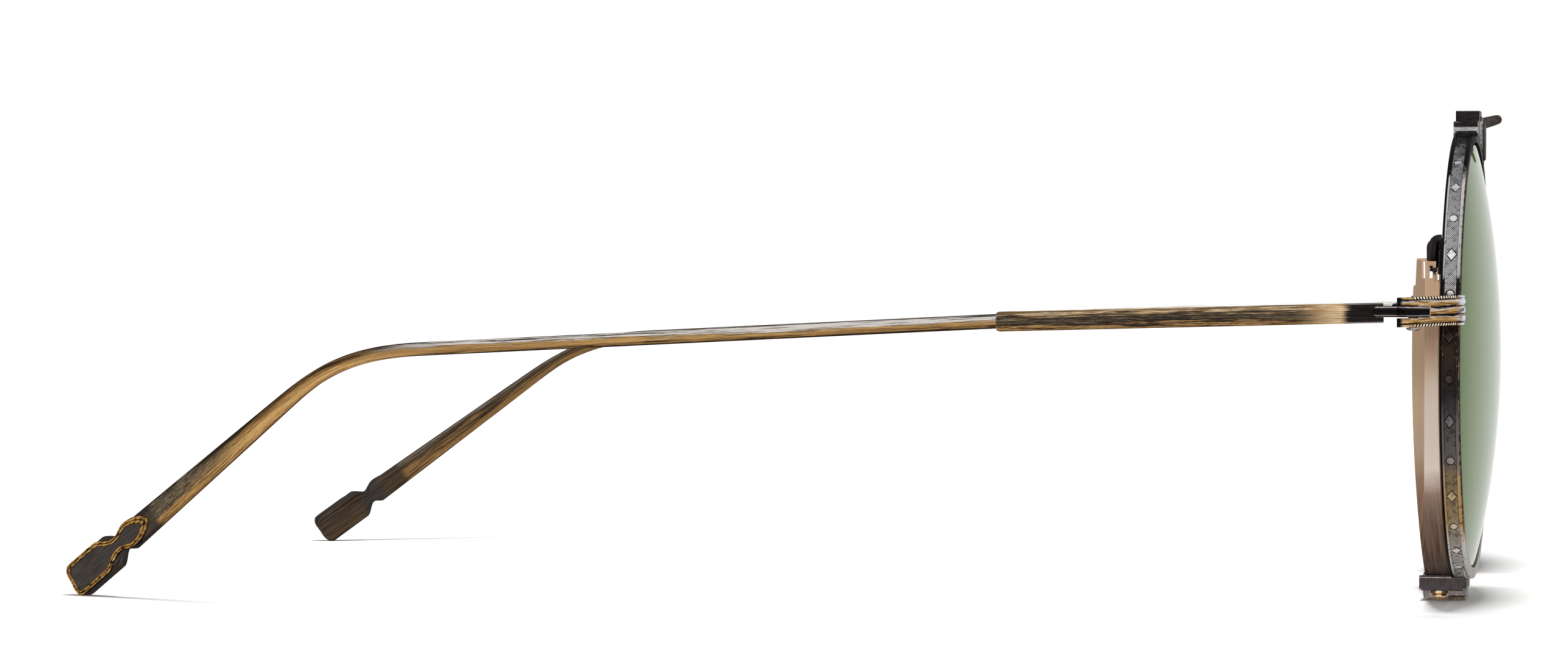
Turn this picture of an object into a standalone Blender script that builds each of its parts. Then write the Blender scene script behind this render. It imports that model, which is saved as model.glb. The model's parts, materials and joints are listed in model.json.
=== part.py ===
"""Round metal sunglasses with domed lenses, light shields and folding temples.

The front faces -Y, the temples run back along +Y, X goes across the face and Z is up.
The wearer's right side is at -X. The frame stands on its two foot pads and its two temple ends.
Units are metres.
"""

import math

import bmesh
import bpy
import numpy as np
from mathutils import Matrix, Vector

# Clearances
SEAT_GAP = 0.00008
HINGE_PLAY = 0.0001
PIN_PLAY = 0.00005
LENS_PLAY = 0.0003

# Rims: a ring a side, wrapped a little round the face
EYE_SPACING = 0.072
FLOOR_BELOW_RIM = 0.00225
WRAP = math.radians(4.0)
RIM_DIAMETER = 0.0475
RIM_WALL = 0.00115
RIM_DEPTH = 0.00208
RIM_CHAMFER = 0.00014
RAIL_WIDTH = 0.00040
CHANNEL_DEPTH = 0.00007
GROOVE_WIDTH = 0.0012
GROOVE_FLOOR = 0.00096
GROOVE_DEPTH = 0.0005
RIM_STEPS = 64

# Lenses
LENS_FRONT_RADIUS = 0.095
LENS_THICKNESS = 0.0018
LENS_SET_BACK = 0.00015
BEVEL_LAND = 0.0006
LENS_RINGS = 4

# Brow bar and nose bridge
BROW_BAR_DIAMETER = 0.00106
BROW_BAR_BOW = 0.0032
BROW_BAR_BOW_LENGTH = 0.013
BROW_BAR_RISE = 0.00085
BROW_BAR_BELOW_TOP = 0.00004
BRIDGE_DIAMETER = 0.0018
BRIDGE_HEIGHT_ON_RIM = 0.0080
BRIDGE_RISE = 0.0030
BRIDGE_BOW = 0.0009

# Top brackets: a saddle over the rim with a block on it
SADDLE_WIDTH = 0.0026
SADDLE_LEG = 0.00020
SADDLE_TOP = 0.0009
SADDLE_GRIP = 0.0005
BLOCK_WIDTH = 0.0030
BLOCK_HEIGHT = 0.00118
BLOCK_FRONT = 0.00145
BLOCK_REAR = 0.00108
TONGUE_THICKNESS = 0.00024
TONGUE_LENGTH = 0.00286
BRACKET_BEVEL = 0.0001
CLAW_WIDTH = 0.0016
CLAW_THICKNESS = 0.00028
CLAW_LENGTH = 0.0040
CLAW_BEVEL = 0.00007

# Bottom brackets: a clamp under the rim and the shield
CLAMP_WIDTH = 0.0070
CLAMP_FRONT = 0.00033
CLAMP_REAR_WALL = 0.0003
CLAMP_GRIP = 0.00085
CLAMP_UNDER = 0.00115
CLAMP_BEVEL = 0.00022
LEG_WIDTH = 0.0040
LEG_LENGTH = 0.0019
LEG_UNDER = 0.00173
LEG_SET_BACK = 0.00005
LEG_ROOT = 0.00033
PAD_BEVEL = 0.00008
FIN_WIDTH = 0.0036
FIN_THICKNESS = 0.00065
FIN_TIP = 0.00030
FIN_FLOOR_GAP = 0.00010

# Screws
SHIELD_SCREW_HEAD = 0.00188
SHIELD_SCREW_HEAD_HEIGHT = 0.00092
SHIELD_SCREW_SHAFT = 0.0010
SHIELD_SCREW_POCKET = 0.0006
HINGE_SCREW_SHAFT = 0.0009
HINGE_SCREW_HEAD = 0.0014
HINGE_SCREW_HEAD_HEIGHT = 0.00032
SCREW_SLOT_WIDTH = 0.00024
SCREW_SLOT_DEPTH = 0.00020
SCREW_STEPS = 18
# Shares of the head's radius and of its height, from under the head to its crown
SHIELD_SCREW_TIERS = [
    (1.0, 0.0), (1.0, 0.42), (0.80, 0.50), (0.78, 0.72), (0.55, 0.93), (0.28, 1.0), (0.0, 1.0),
]
HINGE_SCREW_TIERS = [(1.0, 0.0), (1.0, 0.55), (0.72, 0.9), (0.30, 1.0), (0.0, 1.0)]

# Light shields: a U-shaped band behind the lower part of each rim
SHIELD_WALL = 0.00045
SHIELD_OUTER_INSET = 0.00025
SHIELD_REAR = 0.00415
SHIELD_NOSE_EXTRA = 0.00175
SHIELD_NOSE_SWEEP = 1.5
SHIELD_STEPS = 40
LOOP_STEP = 0.00006
LOOP_FRONT_BAR = 0.0003
LOOP_REAR_BAR = 0.00046
TEMPLE_LOOP_TOP = 0.00985
TEMPLE_LOOP_HEIGHT = 0.0021
TEMPLE_LOOP_SET_BACK = 0.00044
TEMPLE_WINDOW_HEAD = 0.00045
TEMPLE_WINDOW_HEIGHT = 0.00127
NOSE_LOOP_TOP = 0.0104
NOSE_LOOP_HEIGHT = 0.0030
NOSE_LOOP_SET_BACK = 0.0037
NOSE_LOOP_SHOULDER = 0.00023
NOSE_WINDOW_HEAD = 0.00022
NOSE_WINDOW_HEIGHT = 0.0020

# Hooks that hold the shields
HOOK_WIRE = 0.00100
HOOK_HEIGHT = 0.0121
HOOK_INNER_BEND = 0.00002
HOOK_NECK = 0.00028
HOOK_BEAD = 0.00056
HOOK_BEAD_OUT = 0.00036
HOOK_END_BELOW_HEAD = 0.00045
TEMPLE_HOOK_BACK = 0.00086
TEMPLE_HOOK_SWING = 0.0004
NOSE_HOOK_BACK = 0.0042

# Endpieces: three flutes, swept round the corner and forked for the hinge
HINGE_SPACING = 0.132
HINGE_BACK = 0.00523
HINGE_ABOVE_EYE = 0.0047
ENDPIECE_HEIGHT = 0.0030
ENDPIECE_FRONT = 0.00123
ENDPIECE_TILT = math.radians(2.5)
ENDPIECE_THICKNESS = 0.0024
ENDPIECE_CORNER = 0.0030
FLUTES = 3
FLUTE_DEPTH = 0.00022
FLUTE_POINTS = 4
FORK_DEPTH = 0.00175
FORK_END_HALF = 0.0002
INNER_FACE_INSET = 0.00012

# Hinge leaves
LEAF_HEIGHT = 0.0011
LEAF_THICKNESS = 0.0013
LEAF_LENGTH = 0.0041
KNUCKLE_RADIUS = 0.00165
KNUCKLE_GROOVE = 0.0005
KNUCKLE_GROOVE_DEPTH = 0.00018
KNUCKLE_GROOVE_END = 0.00074
KNUCKLE_SWEEP = math.radians(112)

# Temples
TEMPLE_START = 0.0030
WIDE_LENGTH = 0.0390
WIDE_HEIGHT = 0.00203
WIDE_THICKNESS = 0.0016
SHAFT_HEIGHT = 0.00141
SHAFT_THICKNESS = 0.00120
SHOULDER_RADIUS = 0.0005
SHAFT_SPLAY = math.radians(3.5)
TEMPLE_SINK = 0.00010
WIDE_DROP = math.radians(1.6)
SHAFT_DROP = math.radians(3.0)
BEND_AT = 0.1055
BEND_LENGTH = 0.0180
TIP_TURN_IN = math.radians(24.5)
TIP_DROP = math.radians(35.4)
TIP_TAPER_END = 0.0385
TIP_MIDDLE_AT = 0.0298
TIP_MIDDLE_WIDTH = 0.0019
TIP_SHOULDER_AT = 0.0089
TIP_SHOULDER_WIDTH = 0.00285
TIP_THICKNESS = 0.0015
NECK_AT = 0.0078
NECK_WIDTH = 0.00175
NECK_THICKNESS = 0.00115
END_LENGTH = 0.0060
END_WIDTH = 0.0038
END_THICKNESS = 0.0020
END_CORNER = 0.00085
END_EDGE_THICKNESS = 0.0012
SECTION_POINTS = 14
SECTION_SQUARENESS = 4.5
LINE_STEPS = 1500

RIM_RADIUS = RIM_DIAMETER / 2
RIM_BORE = RIM_RADIUS - RIM_WALL
EYE_HEIGHT = RIM_RADIUS + FLOOR_BELOW_RIM
HINGE_HEIGHT = EYE_HEIGHT + HINGE_ABOVE_EYE
RIM_HALF = RIM_DEPTH / 2
SHIELD_OUTER = RIM_RADIUS - SHIELD_OUTER_INSET
SHIELD_INNER = SHIELD_OUTER - SHIELD_WALL
SHIELD_FRONT = RIM_HALF + SEAT_GAP
SADDLE_UNDER = RIM_RADIUS + SEAT_GAP
SADDLE_FRONT = -(RIM_HALF + SEAT_GAP + SADDLE_LEG)
TONGUE_FRONT = SADDLE_FRONT - SEAT_GAP - TONGUE_THICKNESS
BLOCK_BOTTOM = SADDLE_UNDER + SADDLE_TOP
BLOCK_TOP = BLOCK_BOTTOM + BLOCK_HEIGHT
PIN_RADIUS = HINGE_SCREW_SHAFT / 2
PIN_HOLE = PIN_RADIUS + PIN_PLAY
FORK_ROUND = KNUCKLE_RADIUS
FORK_SLOT = LEAF_HEIGHT + 2 * HINGE_PLAY
LEG_FRONT = LEG_SET_BACK - CLAMP_FRONT
MERGE = 1e-8
CUT_REACH = RIM_DIAMETER / 2

SIDES = {"right": -1, "left": 1}


def clear_scene():
    for thing in list(bpy.data.objects):
        bpy.data.objects.remove(thing, do_unlink=True)


def make_material(name, colour, roughness, metallic):
    material = bpy.data.materials.new(name)
    material.use_nodes = True
    shader = material.node_tree.nodes["Principled BSDF"]
    shader.inputs["Base Color"].default_value = (*colour, 1)
    shader.inputs["Roughness"].default_value = roughness
    shader.inputs["Metallic"].default_value = metallic
    return material


FINISHES = {
    "rim": ((0.42, 0.40, 0.38), 0.35, 1.0),
    "lens": ((0.30, 0.38, 0.24), 0.05, 0.0),
    "bar": ((0.10, 0.09, 0.09), 0.30, 1.0),
    "gold": ((0.45, 0.32, 0.18), 0.38, 1.0),
    "beige": ((0.52, 0.42, 0.34), 0.40, 1.0),
    "dark": ((0.06, 0.05, 0.05), 0.30, 1.0),
    "screw": ((0.70, 0.50, 0.22), 0.25, 1.0),
    "pad": ((0.12, 0.08, 0.05), 0.80, 0.0),
}


def add_object(name, mesh, parent, finish, sharp_angle=math.radians(35)):
    """Links a mesh as a named piece with its own material, shaded smooth but for its sharp edges."""
    piece = bpy.data.objects.new(name, mesh)
    bpy.context.scene.collection.objects.link(piece)
    piece.parent = parent
    mesh.materials.append(make_material(name + "_finish", *FINISHES[finish]))
    mesh.shade_smooth()
    mesh.set_sharp_from_angle(angle=sharp_angle)
    return piece


def add_empty(name, parent, location, turn=0.0):
    empty = bpy.data.objects.new(name, None)
    bpy.context.scene.collection.objects.link(empty)
    empty.parent = parent
    empty.location = location
    empty.rotation_euler = (0, 0, turn)
    return empty


def to_mesh(bm, name):
    bmesh.ops.remove_doubles(bm, verts=bm.verts, dist=MERGE)
    bmesh.ops.recalc_face_normals(bm, faces=bm.faces)
    mesh = bpy.data.meshes.new(name)
    bm.to_mesh(mesh)
    bm.free()
    return mesh


def lofted(name, rings):
    """A closed skin over a stack of closed loops, with both ends filled. rings is (loops, points, 3)."""
    bm = bmesh.new()
    loops = [[bm.verts.new(tuple(point)) for point in ring] for ring in rings]
    count = len(loops[0])
    for lower, upper in zip(loops, loops[1:]):
        for i in range(count):
            j = (i + 1) % count
            bm.faces.new((lower[i], lower[j], upper[j], upper[i]))
    bm.faces.new(loops[0][::-1])
    bm.faces.new(loops[-1])
    return to_mesh(bm, name)


def turned(name, profile, axis, steps, closed):
    """A profile of (x, y, z) points spun once round the axis. A closed profile makes a ring."""
    bm = bmesh.new()
    verts = [bm.verts.new(point) for point in profile]
    edges = [bm.edges.new(pair) for pair in zip(verts, verts[1:])]
    if closed:
        edges.append(bm.edges.new((verts[-1], verts[0])))
    bmesh.ops.spin(
        bm, geom=verts + edges, cent=(0, 0, 0), axis=axis, dvec=(0, 0, 0),
        angle=2 * math.pi, steps=steps, use_merge=True,
    )
    return to_mesh(bm, name)


def extruded(name, outline, along):
    """A flat outline of (x, y, z) points pushed along a vector."""
    bm = bmesh.new()
    face = bm.faces.new([bm.verts.new(point) for point in outline])
    made = bmesh.ops.extrude_face_region(bm, geom=[face])
    moved = [v for v in made["geom"] if isinstance(v, bmesh.types.BMVert)]
    bmesh.ops.translate(bm, verts=moved, vec=along)
    return to_mesh(bm, name)


def boxed(name, low, high):
    (x0, y0, z0), (x1, y1, z1) = low, high
    return extruded(name, [(x0, y0, z0), (x1, y0, z0), (x1, y1, z0), (x0, y1, z0)], (0, 0, z1 - z0))


def combine(piece, mesh, operation, place=None):
    """Cuts, joins or intersects a piece with a mesh given in the piece's own frame, or in place's."""
    tool = bpy.data.objects.new(piece.name + "_tool", mesh)
    bpy.context.scene.collection.objects.link(tool)
    tool.parent = place or piece.parent
    bpy.context.view_layer.update()
    modifier = piece.modifiers.new(operation.lower(), "BOOLEAN")
    modifier.operation = operation
    modifier.solver = "EXACT"
    modifier.object = tool
    bpy.context.view_layer.update()
    depsgraph = bpy.context.evaluated_depsgraph_get()
    result = bpy.data.meshes.new_from_object(piece.evaluated_get(depsgraph))
    piece.modifiers.clear()
    piece.data = result
    bpy.data.objects.remove(tool, do_unlink=True)
    tidy(piece)


def tidy(piece):
    """Merges the points that a Boolean leaves on top of each other."""
    bm = bmesh.new()
    bm.from_mesh(piece.data)
    bmesh.ops.remove_doubles(bm, verts=bm.verts, dist=MERGE)
    bmesh.ops.dissolve_degenerate(bm, edges=bm.edges, dist=MERGE)
    bm.to_mesh(piece.data)
    bm.free()


def add_bevel(piece, width, segments=1, angle=math.radians(40)):
    modifier = piece.modifiers.new("bevel", "BEVEL")
    modifier.width = width
    modifier.segments = segments
    modifier.limit_method = "ANGLE"
    modifier.angle_limit = angle
    bpy.context.view_layer.update()
    depsgraph = bpy.context.evaluated_depsgraph_get()
    result = bpy.data.meshes.new_from_object(piece.evaluated_get(depsgraph))
    piece.modifiers.clear()
    piece.data = result


def disc_mesh(name, radius, low, high, steps, axis):
    """A solid cylinder from low to high along the axis, Y or Z."""
    if axis == "Y":
        return turned(name, [(0, low, 0), (radius, low, 0), (radius, high, 0), (0, high, 0)],
                      (0, 1, 0), steps, False)
    return turned(name, [(0, 0, low), (radius, 0, low), (radius, 0, high), (0, 0, high)],
                  (0, 0, 1), steps, False)


def swept_wire(name, path, radii, sides):
    """A round wire along a path: each ring lies square to the path, and neighbours don't twist."""
    path = [Vector(point) for point in path]
    rings = []
    normal = None
    for i, point in enumerate(path):
        before = path[max(i - 1, 0)]
        after = path[min(i + 1, len(path) - 1)]
        tangent = (after - before).normalized()
        if normal is None:
            helper = Vector((0, 0, 1)) if abs(tangent.z) < 0.9 else Vector((1, 0, 0))
            normal = tangent.cross(helper).normalized()
        normal = (normal - tangent * normal.dot(tangent)).normalized()
        second = tangent.cross(normal)
        reach = float(radii[i])
        rings.append([
            point + reach * (math.cos(turn) * normal + math.sin(turn) * second)
            for turn in np.linspace(0, 2 * math.pi, sides, endpoint=False)
        ])
    return lofted(name, rings)


# The rims and their lenses

def make_rim(side, eye):
    """A ring with a lens groove in its bore and a shallow channel between two rails outside."""
    rail = RIM_HALF - RIM_CHAMFER
    channel = RIM_HALF - RAIL_WIDTH
    groove_mouth = GROOVE_WIDTH / 2
    half = [
        (RIM_BORE, RIM_HALF),
        (RIM_RADIUS - RIM_CHAMFER, RIM_HALF),
        (RIM_RADIUS, rail),
        (RIM_RADIUS, channel),
        (RIM_RADIUS - CHANNEL_DEPTH, channel - CHANNEL_DEPTH),
    ]
    groove = [(RIM_BORE + GROOVE_DEPTH, GROOVE_FLOOR / 2), (RIM_BORE, groove_mouth)]
    outline = half + [(r, -y) for r, y in half[::-1]]
    outline += [(r, -y) for r, y in groove[::-1]] + groove
    profile = [(r, y, 0) for r, y in outline]
    add_object("rim_" + side, turned("rim", profile, (0, 1, 0), RIM_STEPS, True), eye, "rim")


def make_lens(side, eye):
    """A meniscus: two spheres about one centre, with a bevel that stands in the rim's groove."""
    body = RIM_BORE - LENS_PLAY
    edge = RIM_BORE + GROOVE_DEPTH - LENS_PLAY
    back_radius = LENS_FRONT_RADIUS - LENS_THICKNESS
    front_edge = -RIM_HALF + LENS_SET_BACK
    centre = front_edge + math.sqrt(LENS_FRONT_RADIUS ** 2 - body ** 2)
    radii = [body * i / LENS_RINGS for i in range(LENS_RINGS + 1)]
    front = [(r, centre - math.sqrt(LENS_FRONT_RADIUS ** 2 - r ** 2)) for r in radii]
    back = [(r, centre - math.sqrt(back_radius ** 2 - r ** 2)) for r in radii[::-1]]
    land = [(edge, -BEVEL_LAND / 2), (edge, BEVEL_LAND / 2)]
    profile = [(r, y, 0) for r, y in front + land + back]
    add_object("lens_" + side, turned("lens", profile, (0, 1, 0), RIM_STEPS, False), eye, "lens")


# The parts on top of the rims

def make_top_bracket(side, eye):
    """A saddle that straddles the rim, with a block on top that carries the brow bar."""
    half = SADDLE_WIDTH / 2
    rear = RIM_HALF + SEAT_GAP + SADDLE_LEG
    foot = RIM_RADIUS - SADDLE_GRIP
    saddle = boxed("saddle", (-half, SADDLE_FRONT, foot), (half, rear, BLOCK_BOTTOM + SEAT_GAP))
    piece = add_object("top_bracket_" + side, saddle, eye, "bar")
    reach = RIM_HALF + SEAT_GAP
    combine(piece, disc_mesh("rim_room", SADDLE_UNDER, -reach, reach, RIM_STEPS, "Y"), "DIFFERENCE")
    block_half = BLOCK_WIDTH / 2
    block = boxed("block", (-block_half, -BLOCK_FRONT, BLOCK_BOTTOM), (block_half, BLOCK_REAR, BLOCK_TOP))
    combine(piece, block, "UNION")
    root = BLOCK_BOTTOM + BLOCK_HEIGHT / 2
    combine(piece, tongue_mesh(root, BLOCK_BOTTOM - TONGUE_LENGTH, TONGUE_FRONT, TONGUE_THICKNESS), "UNION")
    add_bevel(piece, BRACKET_BEVEL)


def tongue_mesh(top, low, front, thickness):
    """A flat strip that hangs down in front of the rim and ends in a half circle."""
    half = CLAW_WIDTH / 2
    arc = [(half * math.cos(a), front, low + half - half * math.sin(a)) for a in np.linspace(0, math.pi, 9)]
    outline = [(half, front, top)] + arc + [(-half, front, top)]
    return extruded("tongue", outline, (0, thickness, 0))


def make_claw_plate(side, eye):
    """A second, longer strip that lies on the front of the bracket's tongue."""
    top = BLOCK_BOTTOM - SEAT_GAP
    front = TONGUE_FRONT - SEAT_GAP - CLAW_THICKNESS
    plate = tongue_mesh(top, top - CLAW_LENGTH, front, CLAW_THICKNESS)
    piece = add_object("claw_plate_" + side, plate, eye, "dark")
    add_bevel(piece, CLAW_BEVEL)


def make_brow_bar(root):
    """One bar from block to block. Its middle bows forward and up in a cosine wave."""
    radius = BROW_BAR_DIAMETER / 2
    middle = (BLOCK_REAR - BLOCK_FRONT) / 2
    swing = (abs(middle) + radius) * math.sin(WRAP)
    end = EYE_SPACING / 2 - BLOCK_WIDTH / 2 * math.cos(WRAP) - swing - SEAT_GAP
    height = EYE_HEIGHT + BLOCK_TOP - BROW_BAR_BELOW_TOP - radius
    path = []
    for share in np.linspace(-1, 1, 31):
        out = share * end
        lift = (1 + math.cos(min(abs(out) / (BROW_BAR_BOW_LENGTH / 2), 1) * math.pi)) / 2
        path.append((out, middle - BROW_BAR_BOW * lift, height + BROW_BAR_RISE * lift))
    add_object("brow_bar", swept_wire("brow_bar", path, [radius] * len(path), 10), root, "bar")


def make_bridge(root, eyes):
    """A saddle bridge between the rims, below the brow bar, cut to the rims at both ends."""
    reach = math.sqrt(RIM_RADIUS ** 2 - BRIDGE_HEIGHT_ON_RIM ** 2) - BRIDGE_DIAMETER / 2
    end = EYE_SPACING / 2 - reach * math.cos(WRAP)
    back = -reach * math.sin(WRAP)
    path = []
    for share in np.linspace(-1, 1, 15):
        lift = math.cos(share * math.pi / 2)
        height = EYE_HEIGHT + BRIDGE_HEIGHT_ON_RIM + BRIDGE_RISE * lift
        path.append((share * end, back - BRIDGE_BOW * lift, height))
    piece = add_object("bridge", swept_wire("bridge", path, [BRIDGE_DIAMETER / 2] * len(path), 12), root, "rim")
    for eye in eyes:
        room = disc_mesh("rim_room", RIM_RADIUS + SEAT_GAP, -CUT_REACH, CUT_REACH, RIM_STEPS, "Y")
        combine(piece, room, "DIFFERENCE", eye)


# The light shields, and what holds them

def shield_rear(out):
    """How far back the shield reaches, in the eye's frame, at a distance out from the eye's centre.

    On the temple side and at the bottom the rear edge lies in one plane across the face.
    Towards the nose it slopes further back.
    """
    plane = SHIELD_REAR + SHIELD_NOSE_EXTRA * max(0.0, -out / SHIELD_OUTER) ** SHIELD_NOSE_SWEEP
    return (plane - out * math.sin(WRAP)) / math.cos(WRAP)


def loop_place(outward):
    """The loop at the top of a leg: its front, rear, top and shoulder, and its window's four sides."""
    temple = outward > 0
    top = TEMPLE_LOOP_TOP if temple else NOSE_LOOP_TOP
    height = TEMPLE_LOOP_HEIGHT if temple else NOSE_LOOP_HEIGHT
    set_back = TEMPLE_LOOP_SET_BACK if temple else NOSE_LOOP_SET_BACK
    shoulder = 0.0 if temple else NOSE_LOOP_SHOULDER
    head = top - (TEMPLE_WINDOW_HEAD if temple else NOSE_WINDOW_HEAD)
    window_height = TEMPLE_WINDOW_HEIGHT if temple else NOSE_WINDOW_HEIGHT
    front = SHIELD_FRONT + set_back
    rear = shield_rear(outward * math.sqrt(SHIELD_OUTER ** 2 - top ** 2)) - shoulder
    return {
        "front": front, "top": top, "shoulder": top - height, "rear_in": shoulder,
        "window_front": front + LOOP_FRONT_BAR, "window_rear": rear - LOOP_REAR_BAR,
        "sill": head - window_height, "head": head,
    }


def make_shield(side, eye):
    """A band bent into a U behind the rim. Each leg ends in a narrower loop with a window."""
    sign = SIDES[side]
    nose, temple = loop_place(-1), loop_place(1)
    spans = {}
    for outward, loop in ((-1, nose), (1, temple)):
        top = math.pi / 2 + math.asin(loop["top"] / SHIELD_OUTER)
        shoulder = math.pi / 2 + math.asin(loop["shoulder"] / SHIELD_OUTER)
        spans[outward] = (shoulder, shoulder + LOOP_STEP / SHIELD_OUTER, top)
    turns = [-spans[-1][2], -spans[-1][1]]
    turns += list(np.linspace(-spans[-1][0], spans[1][0], SHIELD_STEPS))
    turns += [spans[1][1], spans[1][2]]
    rings = []
    for turn in turns:
        loop = temple if turn > 0 else nose
        in_loop = abs(turn) > spans[1 if turn > 0 else -1][0] + MERGE
        front = loop["front"] if in_loop else SHIELD_FRONT
        rear = shield_rear(SHIELD_OUTER * math.sin(turn)) - (loop["rear_in"] if in_loop else 0.0)
        ring = []
        for radius, back in (
            (SHIELD_INNER, front), (SHIELD_OUTER, front), (SHIELD_OUTER, rear), (SHIELD_INNER, rear),
        ):
            ring.append((sign * radius * math.sin(turn), back, -radius * math.cos(turn)))
        rings.append(ring)
    piece = add_object("shield_" + side, lofted("shield", rings), eye, "beige")
    for outward, loop in ((-1, nose), (1, temple)):
        inside = math.sqrt(SHIELD_INNER ** 2 - loop["head"] ** 2) - SHIELD_WALL
        x0, x1 = sorted((sign * outward * inside, sign * outward * (SHIELD_OUTER + SHIELD_WALL)))
        low = (x0, loop["window_front"], loop["sill"])
        high = (x1, loop["window_rear"], loop["head"])
        window = boxed("window", low, high)
        combine(piece, window, "DIFFERENCE")


def arc_points(before, corner, after, radius, steps):
    """A circular arc that turns the corner between two straight runs, both ends included."""
    into = (corner - before).normalized()
    out = (after - corner).normalized()
    angle = into.angle(out)
    inward = (out - into * out.dot(into)).normalized()
    start = corner - into * radius * math.tan(angle / 2)
    return [
        start + into * radius * math.sin(turn) + inward * radius * (1 - math.cos(turn))
        for turn in np.linspace(0, angle, steps + 1)
    ]


def make_hook(side, eye, outward):
    """A wire from the rim's rear face that runs down inside the shield and out through its window.

    In its second bend it narrows to a neck, and outside the window it swells to a bead.
    """
    sign = SIDES[side]
    loop = loop_place(outward)
    wire, neck, bead = HOOK_WIRE / 2, HOOK_NECK / 2, HOOK_BEAD / 2
    bend = wire + HOOK_INNER_BEND
    start_out = math.sqrt((RIM_RADIUS - RIM_WALL / 2) ** 2 - HOOK_HEIGHT ** 2)
    back = RIM_HALF + (TEMPLE_HOOK_BACK if outward > 0 else NOSE_HOOK_BACK)
    swing = TEMPLE_HOOK_SWING if outward > 0 else 0.0
    inside = math.sqrt(SHIELD_INNER ** 2 - loop["top"] ** 2) - wire - SEAT_GAP
    end_height = loop["head"] - HOOK_END_BELOW_HEAD
    wall = math.sqrt(SHIELD_OUTER ** 2 - end_height ** 2)
    through = (loop["window_front"] + loop["window_rear"]) / 2
    root = Vector((start_out, RIM_HALF + SEAT_GAP, HOOK_HEIGHT))
    crown = Vector((start_out, back, HOOK_HEIGHT))
    foot = Vector((inside, back, end_height))
    window = Vector((wall, through, end_height))
    centre = Vector((wall + HOOK_BEAD_OUT, through - swing, end_height))
    outwards = (centre - window).normalized()
    path = [root] + arc_points(root, crown, foot, bend, 5)
    radii = [wire] * len(path)
    lower = arc_points(crown, foot, window, bend, 5)
    path += lower
    radii += list(np.linspace(wire, neck, len(lower)))
    path.append(window)
    radii.append(neck)
    for share in (-0.9, -0.45, 0.0, 0.5, 0.85, 1.0):
        path.append(centre + outwards * bead * share)
        radii.append(max(bead * math.sqrt(1 - share ** 2), neck if share < 0 else neck / 2))
    path = [(sign * outward * x, y, z) for x, y, z in path]
    name = "shield_hook_" + ("temple_" if outward > 0 else "nose_") + side
    add_object(name, swept_wire("hook", path, radii, 8), eye, "dark")


def make_bottom_bracket(side, eye):
    """A clamp whose front cradles the rim and whose middle holds the shield, with a leg and a fin."""
    half = CLAMP_WIDTH / 2
    rear = shield_rear(0) + SEAT_GAP + CLAMP_REAR_WALL
    low, high = -RIM_RADIUS - CLAMP_UNDER, CLAMP_GRIP - RIM_RADIUS
    body = boxed("clamp", (-half, -CLAMP_FRONT, low), (half, rear, high))
    piece = add_object("bottom_bracket_" + side, body, eye, "dark")
    add_bevel(piece, CLAMP_BEVEL, 2)
    rim_room = disc_mesh("rim_room", RIM_RADIUS + SEAT_GAP, -CUT_REACH, SHIELD_FRONT, RIM_STEPS, "Y")
    combine(piece, rim_room, "DIFFERENCE")
    deepest = max(shield_rear(-half), shield_rear(half)) + SEAT_GAP
    shield_room = disc_mesh("shield_room", SHIELD_OUTER + SEAT_GAP, 0, deepest, RIM_STEPS, "Y")
    combine(piece, shield_room, "DIFFERENCE")
    leg_half = LEG_WIDTH / 2
    leg_low = -RIM_RADIUS - LEG_UNDER
    leg = boxed("leg", (-leg_half, LEG_FRONT, leg_low), (leg_half, LEG_FRONT + LEG_LENGTH, low + LEG_ROOT))
    combine(piece, leg, "UNION")
    fin_half = FIN_WIDTH / 2
    fin_back = rear - CLAMP_BEVEL
    fin_low = FIN_FLOOR_GAP - EYE_HEIGHT
    fin_top = low + LEG_ROOT
    fin = extruded("fin", [
        (-fin_half, fin_back - FIN_THICKNESS, fin_top),
        (-fin_half, fin_back - (FIN_THICKNESS + FIN_TIP) / 2, fin_low),
        (-fin_half, fin_back - (FIN_THICKNESS - FIN_TIP) / 2, fin_low),
        (-fin_half, fin_back, fin_top),
    ], (FIN_WIDTH, 0, 0))
    combine(piece, fin, "UNION")
    pocket_top = low + SHIELD_SCREW_POCKET
    pocket = disc_mesh("pocket", SHIELD_SCREW_SHAFT / 2 + PIN_PLAY, low - CUT_REACH, pocket_top,
                       SCREW_STEPS, "Z")
    pocket.transform(Matrix.Translation((0, screw_place(), 0)))
    combine(piece, pocket, "DIFFERENCE")


def screw_place():
    """The shield screw stands midway between the clamp's leg and its fin."""
    leg_rear = LEG_FRONT + LEG_LENGTH
    fin_front = shield_rear(0) + SEAT_GAP + CLAMP_REAR_WALL - CLAMP_BEVEL - FIN_THICKNESS
    return (leg_rear + fin_front) / 2


def make_foot_pad(side, eye):
    half = LEG_WIDTH / 2
    top = -RIM_RADIUS - LEG_UNDER - SEAT_GAP
    pad = boxed("pad", (-half, LEG_FRONT, -EYE_HEIGHT), (half, LEG_FRONT + LEG_LENGTH, top))
    piece = add_object("foot_pad_" + side, pad, eye, "pad")
    add_bevel(piece, PAD_BEVEL)


def screw_mesh(name, shaft_radius, shaft_top, head_radius, head_top, head_height, tiers):
    """A screw that hangs head down: shaft, then a head of one or two tiers with a domed bottom."""
    profile = [(0, 0, shaft_top), (shaft_radius, 0, shaft_top), (shaft_radius, 0, head_top)]
    for reach, drop in tiers:
        profile.append((head_radius * reach, 0, head_top - head_height * drop))
    return turned(name, profile, (0, 0, 1), SCREW_STEPS, False)


def cut_slot(piece, centre, bottom, length):
    half = SCREW_SLOT_WIDTH / 2
    x, y = centre
    slot = boxed("slot", (x - length, y - half, bottom - SCREW_SLOT_DEPTH),
                 (x + length, y + half, bottom + SCREW_SLOT_DEPTH))
    combine(piece, slot, "DIFFERENCE")


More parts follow.
